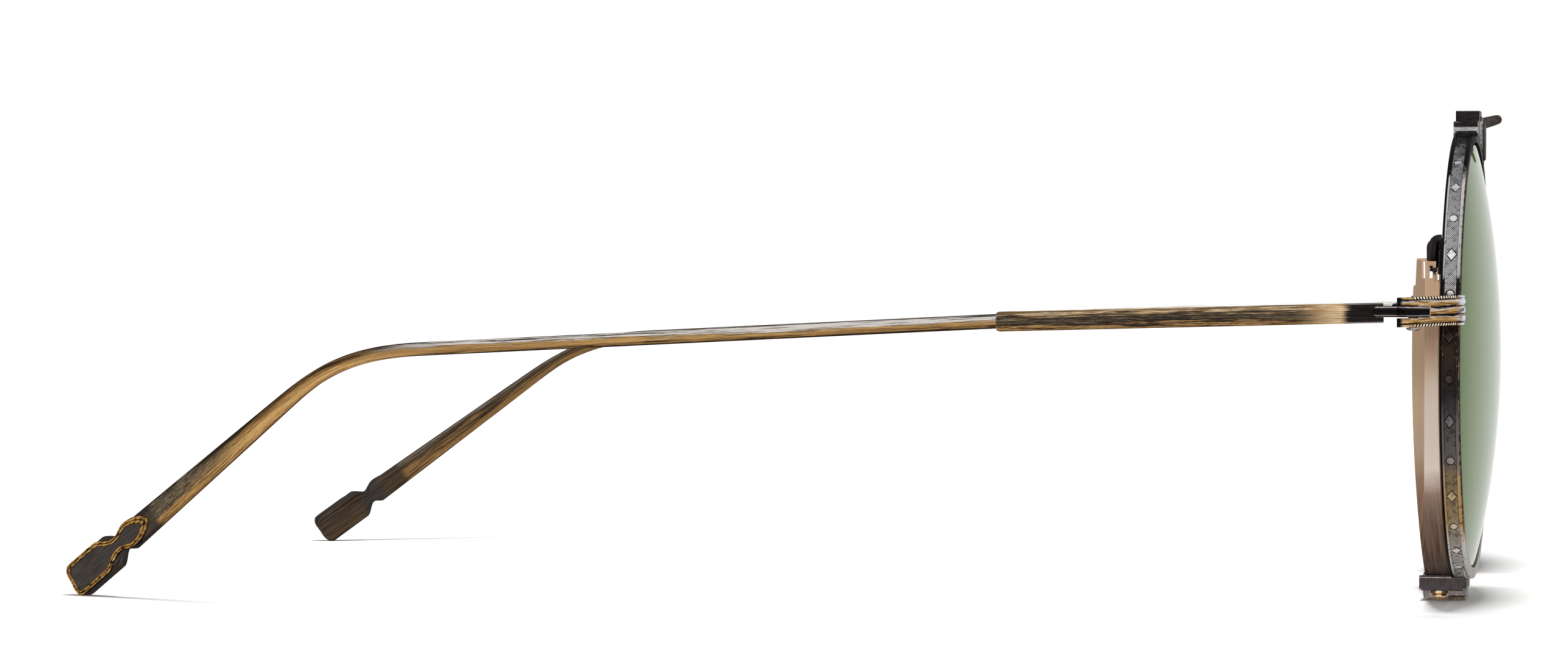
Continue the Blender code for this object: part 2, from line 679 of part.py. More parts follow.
def make_shield_screw(side, eye):
    under = -RIM_RADIUS - CLAMP_UNDER
    head_top = under - SEAT_GAP
    height = SHIELD_SCREW_HEAD_HEIGHT
    mesh = screw_mesh("screw", SHIELD_SCREW_SHAFT / 2, under + SHIELD_SCREW_POCKET - SEAT_GAP,
                      SHIELD_SCREW_HEAD / 2, head_top, height, SHIELD_SCREW_TIERS)
    mesh.transform(Matrix.Translation((0, screw_place(), 0)))
    piece = add_object("shield_screw_" + side, mesh, eye, "screw")
    cut_slot(piece, (0, screw_place()), head_top - height, SHIELD_SCREW_HEAD)


# The hinge and the endpiece

def endpiece_path():
    """Stations in plan: distance out, distance back, direction across and half thickness there.

    The path leaves the rim outwards, turns a quarter circle and runs back past the hinge axis,
    where its plan ends in a half circle about the axis.
    """
    axis_out = HINGE_SPACING / 2
    corner_out = axis_out - ENDPIECE_CORNER
    corner_back = ENDPIECE_FRONT + ENDPIECE_CORNER
    thin, thick = ENDPIECE_THICKNESS / 2, FORK_ROUND
    start = EYE_SPACING / 2 + RIM_BORE
    stations = []
    for out in np.linspace(start, corner_out, 3):
        stations.append((out, ENDPIECE_FRONT, 0.0, thin))
    for turn in np.linspace(0, math.pi / 2, 7)[1:]:
        share = turn / (math.pi / 2)
        out = corner_out + ENDPIECE_CORNER * math.sin(turn)
        back = corner_back - ENDPIECE_CORNER * math.cos(turn)
        stations.append((out, back, turn, thin + (thick - thin) * share))
    stations.append((axis_out, HINGE_BACK, math.pi / 2, thick))
    for turn in np.linspace(0, math.pi / 2, 7)[1:]:
        back = HINGE_BACK + FORK_ROUND * math.sin(turn)
        half = max(FORK_ROUND * math.cos(turn), FORK_END_HALF)
        stations.append((axis_out, back, math.pi / 2, half))
    return stations


def flute_profile():
    """Heights up the outer face, each with its depth below the crown of the flutes."""
    points = []
    for flute in range(FLUTES):
        for i in range(FLUTE_POINTS):
            across = -1 + 2 * i / FLUTE_POINTS
            height = (flute + (across + 1) / 2) / FLUTES
            points.append((height, FLUTE_DEPTH * (1 - math.sqrt(1 - across ** 2))))
    points.append((1.0, FLUTE_DEPTH))
    return points


def make_endpiece(side, root, eye):
    """Three flutes swept round the corner of the front, then forked and drilled for the hinge."""
    sign = SIDES[side]
    low = HINGE_HEIGHT - ENDPIECE_HEIGHT / 2
    rings = []
    for out, back, turn, half in endpiece_path():
        across = (math.sin(turn), -math.cos(turn))
        ring = []
        for height, depth in flute_profile():
            reach = half - min(depth, half / 2)
            ring.append((out + across[0] * reach, back + across[1] * reach, low + height * ENDPIECE_HEIGHT))
        for height in (ENDPIECE_HEIGHT - INNER_FACE_INSET, INNER_FACE_INSET):
            ring.append((out - across[0] * half, back - across[1] * half, low + height))
        rings.append([(sign * x, y, z + (HINGE_BACK - y) * math.tan(ENDPIECE_TILT)) for x, y, z in ring])
    piece = add_object("endpiece_" + side, lofted("endpiece", rings), root, "gold")
    rim_room = disc_mesh("rim_room", RIM_RADIUS + SEAT_GAP, -CUT_REACH, CUT_REACH, RIM_STEPS, "Y")
    combine(piece, rim_room, "DIFFERENCE", eye)
    axis = sign * HINGE_SPACING / 2
    front = HINGE_BACK - FORK_DEPTH
    reach = 2 * FORK_ROUND
    slot = boxed("fork", (axis - reach, front, HINGE_HEIGHT - FORK_SLOT / 2),
                 (axis + reach, HINGE_BACK + reach, HINGE_HEIGHT + FORK_SLOT / 2))
    combine(piece, slot, "DIFFERENCE")
    hole = disc_mesh("pin_hole", PIN_HOLE, -CUT_REACH, CUT_REACH, SCREW_STEPS, "Z")
    hole.transform(Matrix.Translation((axis, HINGE_BACK, HINGE_HEIGHT)))
    combine(piece, hole, "DIFFERENCE")


def make_hinge_screw(side, root):
    """The screw goes up through the fork and the knuckle. Its head shows under the fork."""
    axis = SIDES[side] * HINGE_SPACING / 2
    under = HINGE_HEIGHT - ENDPIECE_HEIGHT / 2
    head_top = under - SEAT_GAP
    mesh = screw_mesh("hinge_screw", PIN_RADIUS, HINGE_HEIGHT + ENDPIECE_HEIGHT / 2 - SEAT_GAP,
                      HINGE_SCREW_HEAD / 2, head_top, HINGE_SCREW_HEAD_HEIGHT, HINGE_SCREW_TIERS)
    mesh.transform(Matrix.Translation((axis, HINGE_BACK, 0)))
    piece = add_object("hinge_screw_" + side, mesh, root, "screw")
    cut_slot(piece, (axis, HINGE_BACK), head_top - HINGE_SCREW_HEAD_HEIGHT, HINGE_SCREW_HEAD)


def make_hinge_leaf(side, hinge):
    """A knuckle on the hinge axis with a flat tail.

    The knuckle is round on the inner side, so that it can turn, and square on the outer side,
    where it meets the floor of the fork and stops the temple when it is open.
    """
    sign = SIDES[side]
    knuckle = min(KNUCKLE_RADIUS, FORK_DEPTH - HINGE_PLAY)
    tail_half = LEAF_THICKNESS / 2
    half_height = LEAF_HEIGHT / 2
    outline = [(knuckle, tail_half), (knuckle, -knuckle)]
    outline += [(knuckle * math.sin(a), -knuckle * math.cos(a)) for a in np.linspace(0, -KNUCKLE_SWEEP, 10)]
    outline += [(-tail_half, knuckle), (-tail_half, LEAF_LENGTH)]
    outline += [(tail_half, LEAF_LENGTH), (tail_half, knuckle)]
    plan = [(sign * x, y, -half_height) for x, y in outline]
    piece = add_object("hinge_leaf_" + side, extruded("leaf", plan, (0, 0, LEAF_HEIGHT)), hinge, "dark")
    combine(piece, leaf_side_mesh(0.0), "INTERSECT")
    groove_half = KNUCKLE_GROOVE / 2
    x0, x1 = sorted((sign * (knuckle - KNUCKLE_GROOVE_DEPTH), sign * 2 * knuckle))
    groove = boxed("groove", (x0, -2 * knuckle, -groove_half), (x1, KNUCKLE_GROOVE_END, groove_half))
    combine(piece, groove, "DIFFERENCE")
    hole = disc_mesh("pin_hole", PIN_HOLE, -CUT_REACH, CUT_REACH, SCREW_STEPS, "Z")
    combine(piece, hole, "DIFFERENCE")


def leaf_side_mesh(play):
    """The leaf's outline seen from the side, with a round rear end, pushed right across it."""
    half = LEAF_HEIGHT / 2 + play
    end = LEAF_LENGTH + play - half
    arc = [(end + half * math.sin(a), half * math.cos(a)) for a in np.linspace(0, math.pi, 9)]
    outline = [(-LEAF_LENGTH, half)] + arc + [(-LEAF_LENGTH, -half)]
    return extruded("leaf_side", [(-LEAF_LENGTH, y, z) for y, z in outline], (2 * LEAF_LENGTH, 0, 0))


# The temples

def smooth_step(x):
    x = np.clip(x, 0, 1)
    return x * x * (3 - 2 * x)


def temple_line(length):
    """Fine points along the temple's middle line and their directions, by adding up short steps.

    The plan angle goes from the splay of the shaft to the turn-in of the tip, and the slope goes from
    the shaft's drop to the tip's drop, both as a smooth step through the ear bend. The wide front part
    slopes less than the shaft.
    """
    run = np.linspace(0, length, LINE_STEPS)
    through = smooth_step((run - BEND_AT + BEND_LENGTH / 2) / BEND_LENGTH)
    plan = SHAFT_SPLAY + (-TIP_TURN_IN - SHAFT_SPLAY) * through
    before = np.where(run < WIDE_LENGTH, WIDE_DROP, SHAFT_DROP)
    slope = before + (TIP_DROP - before) * through
    ways = np.stack([np.sin(plan) * np.cos(slope), np.cos(plan) * np.cos(slope), -np.sin(slope)], 1)
    middles = (ways[1:] + ways[:-1]) / 2 * (run[1] - run[0])
    start = np.array([0, TEMPLE_START, -TEMPLE_SINK])
    points = np.vstack([start, np.cumsum(middles, 0) + start])
    return run, points, plan, slope


def temple_length():
    """The length at which the lower round corner of the tip just touches the floor."""
    trial = BEND_AT + TIP_TAPER_END
    end_height = HINGE_HEIGHT + temple_line(trial)[1][-1, 2]
    corner = END_WIDTH / 2 - END_CORNER
    wanted = END_CORNER + corner * math.cos(TIP_DROP) - END_CORNER * math.sin(TIP_DROP)
    return trial + (end_height - wanted) / math.sin(TIP_DROP)


def temple_width(run, length):
    """Height of the temple along its run: wide front, shoulder, slender shaft, then the bottle tip."""
    past = length - run
    if run < WIDE_LENGTH - SHOULDER_RADIUS:
        return WIDE_HEIGHT
    if run < WIDE_LENGTH:
        rise = (run - WIDE_LENGTH + SHOULDER_RADIUS) / SHOULDER_RADIUS
        step = (WIDE_HEIGHT - SHAFT_HEIGHT) * (1 - math.sqrt(max(0.0, 1 - rise ** 2)))
        return WIDE_HEIGHT - step
    if past > TIP_SHOULDER_AT:
        stations = [TIP_SHOULDER_AT, TIP_MIDDLE_AT, TIP_TAPER_END]
        return float(np.interp(past, stations, [TIP_SHOULDER_WIDTH, TIP_MIDDLE_WIDTH, SHAFT_HEIGHT]))
    if past > NECK_AT:
        share = smooth_step((past - NECK_AT) / (TIP_SHOULDER_AT - NECK_AT))
        return NECK_WIDTH + (TIP_SHOULDER_WIDTH - NECK_WIDTH) * float(share)
    if past > END_LENGTH:
        share = smooth_step((NECK_AT - past) / (NECK_AT - END_LENGTH))
        return NECK_WIDTH + (END_WIDTH - NECK_WIDTH) * float(share)
    if past > END_CORNER:
        return END_WIDTH
    into = END_CORNER - past
    return END_WIDTH - 2 * (END_CORNER - math.sqrt(max(0.0, END_CORNER ** 2 - into ** 2)))


def temple_thickness(run, length):
    marks = [0, WIDE_LENGTH - SHOULDER_RADIUS, WIDE_LENGTH, length - TIP_MIDDLE_AT,
             length - TIP_SHOULDER_AT, length - NECK_AT, length - END_LENGTH, length - END_CORNER, length]
    sizes = [WIDE_THICKNESS, WIDE_THICKNESS, SHAFT_THICKNESS, SHAFT_THICKNESS,
             TIP_THICKNESS, NECK_THICKNESS, END_THICKNESS, END_THICKNESS, END_EDGE_THICKNESS]
    return float(np.interp(run, marks, sizes))


def section(width, thickness, squareness):
    """A rounded rectangle as a superellipse of SECTION_POINTS points: across, then up."""
    turns = (np.arange(SECTION_POINTS) + 0.5) * 2 * math.pi / SECTION_POINTS
    power = 2 / squareness
    across = np.sign(np.cos(turns)) * np.abs(np.cos(turns)) ** power * thickness / 2
    up = np.sign(np.sin(turns)) * np.abs(np.sin(turns)) ** power * width / 2
    return across, up


def temple_stations(length):
    """Where the sections go: close together at the shoulder, the bend and the bottle tip."""
    bend = np.linspace(BEND_AT - BEND_LENGTH / 2, BEND_AT + BEND_LENGTH / 2, 11)
    shoulder = WIDE_LENGTH - SHOULDER_RADIUS * np.array([1.0, 0.6, 0.3, 0.1, 0.02, -0.3])
    front = np.linspace(0, WIDE_LENGTH - 2 * SHOULDER_RADIUS, 4)
    shaft = np.linspace(WIDE_LENGTH + 0.004, bend[0], 6)[:-1]
    tip = length - np.append(np.linspace(TIP_MIDDLE_AT, TIP_SHOULDER_AT, 3), TIP_TAPER_END)
    neck = length - np.linspace(TIP_SHOULDER_AT, NECK_AT, 6)[1:]
    end = length - np.linspace(NECK_AT, END_LENGTH, 6)[1:]
    corner = length - END_CORNER * np.array([1.0, 0.62, 0.30, 0.08, 0.0])
    return np.unique(np.concatenate([front, shoulder, shaft, bend, tip, neck, end, corner]))


def make_temple(side, hinge):
    """Sections carried along the temple's line, then a notch in the front end for the leaf."""
    sign = SIDES[side]
    length = temple_length()
    run, points, plan, slope = temple_line(length)
    rings = []
    for here in temple_stations(length):
        middle = [np.interp(here, run, points[:, i]) for i in range(3)]
        turn = np.interp(here, run, plan)
        drop = np.interp(here, run, slope)
        outward = Vector((math.cos(turn), -math.sin(turn), 0))
        way = Vector((math.sin(turn) * math.cos(drop), math.cos(turn) * math.cos(drop), -math.sin(drop)))
        upward = outward.cross(way)
        across, up = section(temple_width(here, length), temple_thickness(here, length), SECTION_SQUARENESS)
        ring = [Vector(middle) + outward * a + upward * b for a, b in zip(across, up)]
        rings.append([(sign * p.x, p.y, p.z) for p in ring])
    piece = add_object("temple_" + side, lofted("temple", rings), hinge, "gold")
    combine(piece, leaf_side_mesh(SEAT_GAP), "DIFFERENCE")


def main():
    clear_scene()
    root = add_empty("sunglasses", None, (0, 0, 0))
    eyes = []
    for side, sign in SIDES.items():
        eye = add_empty("eye_" + side, root, (sign * EYE_SPACING / 2, 0, EYE_HEIGHT), sign * WRAP)
        hinge = add_empty("hinge_" + side, root, (sign * HINGE_SPACING / 2, HINGE_BACK, HINGE_HEIGHT))
        bpy.context.view_layer.update()
        eyes.append(eye)
        make_rim(side, eye)
        make_lens(side, eye)
        make_top_bracket(side, eye)
        make_claw_plate(side, eye)
        make_shield(side, eye)
        make_hook(side, eye, 1)
        make_hook(side, eye, -1)
        make_bottom_bracket(side, eye)
        make_foot_pad(side, eye)
        make_shield_screw(side, eye)
        make_endpiece(side, root, eye)
        make_hinge_screw(side, root)
        make_hinge_leaf(side, hinge)
        make_temple(side, hinge)
    make_brow_bar(root)
    make_bridge(root, eyes)
    bpy.context.view_layer.update()
    backs = [
        (piece.matrix_world @ vertex.co).y
        for piece in bpy.data.objects if piece.type == "MESH" for vertex in piece.data.vertices
    ]
    root.location = (0, -(min(backs) + max(backs)) / 2, 0)
    bpy.context.view_layer.update()


main()
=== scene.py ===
"""Round metal sunglasses, dressed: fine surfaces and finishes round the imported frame, and the stage.

The front faces -Y, the temples run back along +Y and Z is up. The wearer's right side is at -X.
Units are metres. Every piece has its place in its mesh, and its object sits at the origin.
"""

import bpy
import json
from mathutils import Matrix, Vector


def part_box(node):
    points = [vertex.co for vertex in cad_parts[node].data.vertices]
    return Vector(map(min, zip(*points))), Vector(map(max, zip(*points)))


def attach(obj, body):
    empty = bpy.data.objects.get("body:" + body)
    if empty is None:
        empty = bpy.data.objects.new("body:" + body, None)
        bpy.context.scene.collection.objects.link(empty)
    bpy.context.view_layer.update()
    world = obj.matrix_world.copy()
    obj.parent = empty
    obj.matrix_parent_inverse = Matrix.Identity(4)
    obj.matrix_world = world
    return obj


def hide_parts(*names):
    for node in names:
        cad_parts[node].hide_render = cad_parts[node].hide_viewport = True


bl_info = {
    "name": "Round Sunglasses",
    "version": (1, 0, 0),
    "blender": (4, 5, 0),
    "location": "3D View > Sidebar > Sunglasses",
    "description": "Dresses a packed pair of round metal sunglasses in fine surfaces and finishes",
    "category": "Add Mesh",
}

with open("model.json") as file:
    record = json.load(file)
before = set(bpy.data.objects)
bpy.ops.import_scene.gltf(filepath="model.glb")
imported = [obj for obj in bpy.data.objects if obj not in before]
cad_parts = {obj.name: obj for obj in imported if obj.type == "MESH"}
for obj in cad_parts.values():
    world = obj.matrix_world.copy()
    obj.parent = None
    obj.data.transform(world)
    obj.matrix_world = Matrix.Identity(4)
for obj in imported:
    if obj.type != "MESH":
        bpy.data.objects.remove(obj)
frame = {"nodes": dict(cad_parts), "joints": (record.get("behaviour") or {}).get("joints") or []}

import itertools
import json
import math

import bpy
import numpy as np
from bpy.props import FloatProperty, FloatVectorProperty, IntProperty, PointerProperty
from mathutils import Color, Matrix, Vector

SIDES = {"right": -1.0, "left": 1.0}
WRAP = math.radians(4.0)
JOINTS = {joint["name"]: joint for joint in frame["joints"]}
HINGE = np.array(JOINTS["fold_left"]["pos_m"])
HINGE_OUT, HINGE_BACK, HINGE_UP = HINGE.tolist()
RIM_LOW, RIM_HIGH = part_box("rim_left")
RIM_RADIUS = (RIM_HIGH.z - RIM_LOW.z) / 2
EYE = np.array((RIM_LOW + RIM_HIGH) / 2)
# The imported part's gap between soldered pieces, and its rim's wall, lens groove and lens seat
GAP = 0.00008
RIM_WALL = 0.00115
GROOVE_MOUTH, GROOVE_FLOOR, GROOVE_DEPTH = 0.0012, 0.00096, 0.0005
LENS_SET_BACK = 0.00015
# How deep the hatched band reaches below its floor, its points across, and the shares of a pitch at which a line
# starts to rise, is up, starts to fall and is down
BAND_ROOT, BAND_POINTS, LINE_AT = 0.0001, 11, [0.0, 0.12, 0.56, 0.68]
# A lozenge is where SLIMNESS * distance along + distance across is under LOZENGE * medallion size, and the hatch
# keeps off up to MARGIN times that. A disc keeps the same margin.
SLIMNESS, LOZENGE, MARGIN = 0.75, 0.62, 1.3
# UV coordinates are raised by these, so that a pattern never meets its zero
ACROSS_SHIFT, GIRTH_SHIFT, AROUND_SHIFT, RISE_SHIFT = 0.01, 0.003, 0.08, 0.002


# Places

def stacked(*coordinates):
    """Arrays of coordinates, spread to one shape, as one array of points."""
    return np.stack(np.broadcast_arrays(*coordinates), -1)


def on_side(points, side):
    """Points given as distance out from the face's middle, back and up, put on one side by its sign."""
    return points * np.array([SIDES[side], 1.0, 1.0])


def from_eye(points, side):
    """Points in the eye's frame (out, back, up), turned by the wrap and moved to the eye's centre."""
    out, back, up = np.moveaxis(points, -1, 0)
    turned = stacked(
        EYE[0] + out * math.cos(WRAP) - back * math.sin(WRAP),
        EYE[1] + out * math.sin(WRAP) + back * math.cos(WRAP), EYE[2] + up,
    )
    return on_side(turned, side)


def from_hinge(points, side):
    """Points in the hinge's frame (out, back, up), moved to the hinge axis."""
    return on_side(points + HINGE, side)


def about_axis(radius, back, turn):
    """Points round the eye's axis: (radius sin t, back, -radius cos t), so that the seam is at the bottom."""
    return stacked(radius * np.sin(turn), back, -radius * np.cos(turn))


def distances(path):
    """How far along a path each of its points lies."""
    return np.append(0, np.cumsum(np.linalg.norm(np.diff(path, axis=0), axis=1)))


def dots(a, b):
    """The dot product of each row of one array with that row of the other."""
    return np.einsum("ij,ij->i", a, b)


# Surfaces

# The materials by short name, filled in by the first operator
FINISHES = {}


def grid_faces(rows, columns, close_rows=False, close_columns=False):
    """The quads between neighbours of a grid of points that is stored row by row."""
    i, j = np.meshgrid(
        np.arange(rows if close_rows else rows - 1),
        np.arange(columns if close_columns else columns - 1), indexing="ij",
    )
    corners = stacked(i, i + 1, i + 1, i) % rows * columns + stacked(j, j, j + 1, j + 1) % columns
    return corners.reshape(-1, 4)


def lofted(rings):
    """A closed surface through rings of points (stations, points, 3), with one flat cap at each end."""
    stations, points = rings.shape[:2]
    faces = grid_faces(stations, points, close_columns=True).tolist()
    faces.append(list(range(points))[::-1])
    faces.append(list(range((stations - 1) * points, stations * points)))
    return rings.reshape(-1, 3), faces


def drawn(first, second, axis, reach):
    """Two rings: an outline in the plane square to one axis of the three, moved by reach either way."""
    return np.stack([np.insert(stacked(first, second), axis, at, axis=1) for at in (-reach, reach)])


def revolved(profile, steps, closed):
    """A profile of (radius, back) turned about the eye's axis."""
    turn = np.linspace(0, 2 * math.pi, steps, endpoint=False)[:, None]
    points = about_axis(profile[:, 0], profile[:, 1], turn)
    return points.reshape(-1, 3), grid_faces(steps, len(profile), True, closed)


def swept(path, radius, sides):
    """A round wire: at each point of the path a ring of the given radius square to the path.

    The ring's first direction is the path's direction crossed with the upward one.
    """
    tangent = np.gradient(path, axis=0)
    tangent /= np.linalg.norm(tangent, axis=1, keepdims=True)
    first = np.cross(tangent, [0.0, 0.0, 1.0])
    first /= np.linalg.norm(first, axis=1, keepdims=True)
    second = np.cross(tangent, first)
    turn = np.linspace(0, 2 * math.pi, sides, endpoint=False)[None, :, None]
    return path[:, None] + radius * (np.cos(turn) * first[:, None] + np.sin(turn) * second[:, None])


def welded(points, faces):
    """Points that coincide are made one, and faces that lose a corner by it are mended or dropped."""
    _, first, index = np.unique(np.round(points, 8), axis=0, return_index=True, return_inverse=True)
    index = index.reshape(-1)
    kept = []
    for face in faces:
        corners = index[np.asarray(face)].tolist()
        corners = [c for c, after in zip(corners, corners[1:] + corners[:1]) if c != after]
        if len(set(corners)) > 2 and len(set(corners)) == len(corners):
            kept.append(corners)
    return points[first], kept, first


def read(items, key, width=1, kind=int):
    """One number of each mesh item, or a row of them, as an array."""
    numbers = np.empty(len(items) * width, kind)
    items.foreach_get(key, numbers)
    return numbers if width == 1 else numbers.reshape(-1, width)


def add_object(name, data):
    new = bpy.data.objects.new(name, data)
    bpy.context.scene.collection.objects.link(new)
    return new


def make_mesh(name, points, faces):
    """A mesh whose faces all look outwards."""
    faces = faces.tolist() if isinstance(faces, np.ndarray) else faces
    mesh = bpy.data.meshes.new(name)
    mesh.from_pydata(points.tolist(), [], faces)
    a, b, c = points[read(mesh.loop_triangles, "vertices", 3)].transpose(1, 0, 2)
    if np.einsum("ij,ij->", a, np.cross(b, c)) < 0:
        mesh.flip_normals()
    return mesh


def add_piece(name, body, finish, points, faces, surface=None, period=None, values=None, sharp=35):
    """Adds one piece that rides on a body and wears a finish.

    surface holds a UV per point. Where period is given, a face that straddles the seam gets its
    corners' U or V raised by one period, so that the pattern runs on. values holds numbers per point.
    """
    mesh = make_mesh(name, points, faces)
    mesh.shade_smooth()
    mesh.set_sharp_from_angle(angle=math.radians(sharp))
    if surface is not None:
        corner, starts = read(mesh.loops, "vertex_index"), read(mesh.polygons, "loop_start")
        counts = np.diff(np.append(starts, len(corner)))
        uv = surface[corner]
        for axis, length in enumerate(period or (None, None)):
            if length:
                top = np.repeat(np.maximum.reduceat(uv[:, axis], starts), counts)
                uv[:, axis] += length * (top - uv[:, axis] > length / 2)
        layer = mesh.uv_layers.new(name="surface")
        layer.data.foreach_set("uv", uv.astype(np.float32).reshape(-1))
    for key, numbers in (values or {}).items():
        mesh.attributes.new(key, "FLOAT", "POINT").data.foreach_set("value", numbers.astype(np.float32))
    mesh.materials.append(FINISHES[finish])
    piece = add_object(name, mesh)
    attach(piece, body)
    return piece


def carved(points, faces, cutters):
    """The closed surface with each cutter (points, faces) taken out of it by an exact Boolean, and welded."""
    whole = add_object("whole", make_mesh("whole", points, faces))
    tools = [add_object("cutter", make_mesh("cutter", *cutter)) for cutter in cutters]
    for tool in tools:
        cut = whole.modifiers.new("cut", "BOOLEAN")
        cut.operation, cut.solver, cut.object = "DIFFERENCE", "EXACT", tool
    done = whole.evaluated_get(bpy.context.evaluated_depsgraph_get()).to_mesh()
    rest, left = read(done.vertices, "co", 3, float), [list(face.vertices) for face in done.polygons]
    for one in [whole] + tools:
        mesh = one.data
        bpy.data.objects.remove(one)
        bpy.data.meshes.remove(mesh)
    return welded(rest, left)[:2]


def frame_node(node):
    """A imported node's triangles as (points, faces), with its coinciding corners made one."""
    mesh = frame["nodes"][node].data
    triangles = read(mesh.loops, "vertex_index").reshape(-1, 3)
    points, faces, _ = welded(read(mesh.vertices, "co", 3, float), triangles)
    return points, np.array(faces)


def box_surface(low, high):
    """A box's eight corners and six faces, for a cutter."""
    corners = np.array(list(itertools.product(*zip(low, high))))
    faces = [[0, 1, 3, 2], [4, 6, 7, 5], [0, 4, 5, 1], [2, 3, 7, 6], [0, 2, 6, 4], [1, 5, 7, 3]]
    return corners, faces


def smooth_step(x):
    """3x^2 - 2x^3 between 0 and 1, and flat outside."""
    x = np.clip(x, 0, 1)
    return x * x * (3 - 2 * x)


def colour(screen):
    """A screen colour, written 0xRRGGBB, as linear values by the sRGB curve."""
    share = np.array([screen >> 16, screen >> 8 & 255, screen & 255]) / 255
    linear = np.where(share <= 0.04045, share / 12.92, ((share + 0.055) / 1.055) ** 2.4)
    return (*linear.tolist(), 1.0)


# Finishes

class Nodes:
    """A node tree in the making. Each call adds one node and gives back its output socket."""

    def __init__(self, owner):
        owner.use_nodes = True
        self.nodes, self.links = owner.node_tree.nodes, owner.node_tree.links
        self.nodes.clear()

    def feed(self, socket, value):
        if isinstance(value, bpy.types.NodeSocket):
            self.links.new(value, socket)
        else:
            socket.default_value = value

    def node(self, kind, output=0, inputs=(), **settings):
        new = self.nodes.new(kind)
        for key, value in settings.items():
            setattr(new, key, value)
        for key, value in dict(inputs).items():
            self.feed(new.inputs[key], value)
        return new.outputs[output]

    def close(self, kind, socket):
        """Ends the tree in an output node."""
        self.feed(self.nodes.new(kind).inputs[0], socket)

    def ray(self, kind):
        return self.node("ShaderNodeLightPath", f"Is {kind} Ray")

    def place(self):
        return self.node("ShaderNodeTexCoord", "Object")

    def up(self):
        """Height above the floor."""
        return self.part(self.place(), "Z")

    def surface(self):
        return self.node("ShaderNodeTexCoord", "UV")

    def part(self, vector, axis):
        return self.node("ShaderNodeSeparateXYZ", axis, {0: vector})

    def value(self, key):
        return self.node("ShaderNodeAttribute", "Fac", attribute_name=key)

    def calc(self, operation, a, b=0.0, clamp=False):
        return self.node("ShaderNodeMath", 0, {0: a, 1: b}, operation=operation, use_clamp=clamp)

    def plus(self, a, b):
        return self.calc("ADD", a, b)

    def minus(self, a, b):
        return self.calc("SUBTRACT", a, b)

    def times(self, a, b):
        return self.calc("MULTIPLY", a, b)

    def over(self, a, b):
        return self.calc("DIVIDE", a, b)

    def larger(self, a, b):
        return self.calc("MAXIMUM", a, b)

    def size(self, a):
        return self.calc("ABSOLUTE", a)

    def swing(self, noise, amount):
        """A noise of 0 to 1 carried to plus or minus half the amount."""
        return self.times(self.minus(noise, 0.5), amount)

    def noise(self, vector, scale, detail=4.0, roughness=0.6):
        inputs = {"Vector": vector, "Scale": scale, "Detail": detail, "Roughness": roughness}
        return self.node("ShaderNodeTexNoise", "Fac", inputs)

    def stretched(self, vector, x, y, z=1.0):
        return self.node("ShaderNodeMapping", 0, {"Vector": vector, "Scale": (x, y, z)})

    def grain(self, stretch, scale, detail=4.0, roughness=0.6, high=0.68):
        """Noise in the piece's own space, squeezed by the stretch (x, y, z), its middle tones spread."""
        stretched = self.stretched(self.place(), *stretch)
        return self.band(self.noise(stretched, scale, detail, roughness), 0.34, high)

    def streaks(self, surface, along, across, detail=5.0, roughness=0.7):
        """Noise drawn out along a surface map, at so many units a metre each way, its middle tones spread."""
        stretched = self.stretched(surface, along, across)
        return self.band(self.noise(stretched, 1.0, detail, roughness), 0.34, 0.66)

    def band(self, value, low, high, to_low=0.0, to_high=1.0):
        """value carried smoothly from low..high to to_low..to_high, and clamped."""
        inputs = {"Value": value, "From Min": low, "From Max": high, "To Min": to_low, "To Max": to_high}
        return self.node("ShaderNodeMapRange", 0, inputs, interpolation_type="SMOOTHSTEP")

    def window(self, value, rise, fall):
        """1 between two soft edges, each given as its place at 0 and its place at 1."""
        return self.times(self.band(value, *rise), self.band(value, *fall))

    def ramp(self, value, stops):
        """Colours at places along value, given as (place, colour) pairs. 0xRRGGBB is a screen colour."""
        output = self.node("ShaderNodeValToRGB", 0, {0: value})
        steps = output.node.color_ramp
        for i, (place, shade) in enumerate(stops):
            step = steps.elements[i] if i < 2 else steps.elements.new(place)
            step.position, step.color = place, self.tone(shade)
        return output

    def mix(self, share, a, b):
        inputs = {0: share, 6: self.tone(a), 7: self.tone(b)}
        return self.node("ShaderNodeMix", 2, inputs, data_type="RGBA")

    def tone(self, shade):
        """A screen colour or one of the panel's as a linear colour. A socket stays as it is."""
        if isinstance(shade, int):
            return colour(shade)
        return (*shade, 1) if isinstance(shade, Color) else shade


class Finish(Nodes):
    """The material of a piece: one principled shader.

    The roughness given at the start is the plain one, for readers that don't follow the nodes.
    """

    def __init__(self, name, metallic, roughness):
        self.material = bpy.data.materials.new(name)
        super().__init__(self.material)
        self.shader = self.nodes.new("ShaderNodeBsdfPrincipled")
        self.close("ShaderNodeOutputMaterial", self.shader.outputs[0])
        self.shader.inputs["Metallic"].default_value = metallic
        self.shader.inputs["Roughness"].default_value = roughness

    def paint(self, shade, roughness, height=None, relief=0.0):
        """Sets the colour, which a metal's mirror image takes at every angle, the roughness and the relief."""
        self.feed(self.shader.inputs["Base Color"], shade)
        if self.shader.inputs["Metallic"].default_value > 0:
            self.feed(self.shader.inputs["Specular Tint"], shade)
        self.feed(self.shader.inputs["Roughness"], roughness)
        if height is not None:
            inputs = {"Height": height, "Distance": relief, "Strength": 1.0}
            self.feed(self.shader.inputs["Normal"], self.node("ShaderNodeBump", 0, inputs))
        return self.material


# Heights above the floor at which a ramp by height ends, on the rim, the shield and the shield screw
RIM_RAMP_TOP, SHIELD_RAMP_TOP, SCREW_RAMP_TOP = 0.05, 0.04, 0.00125


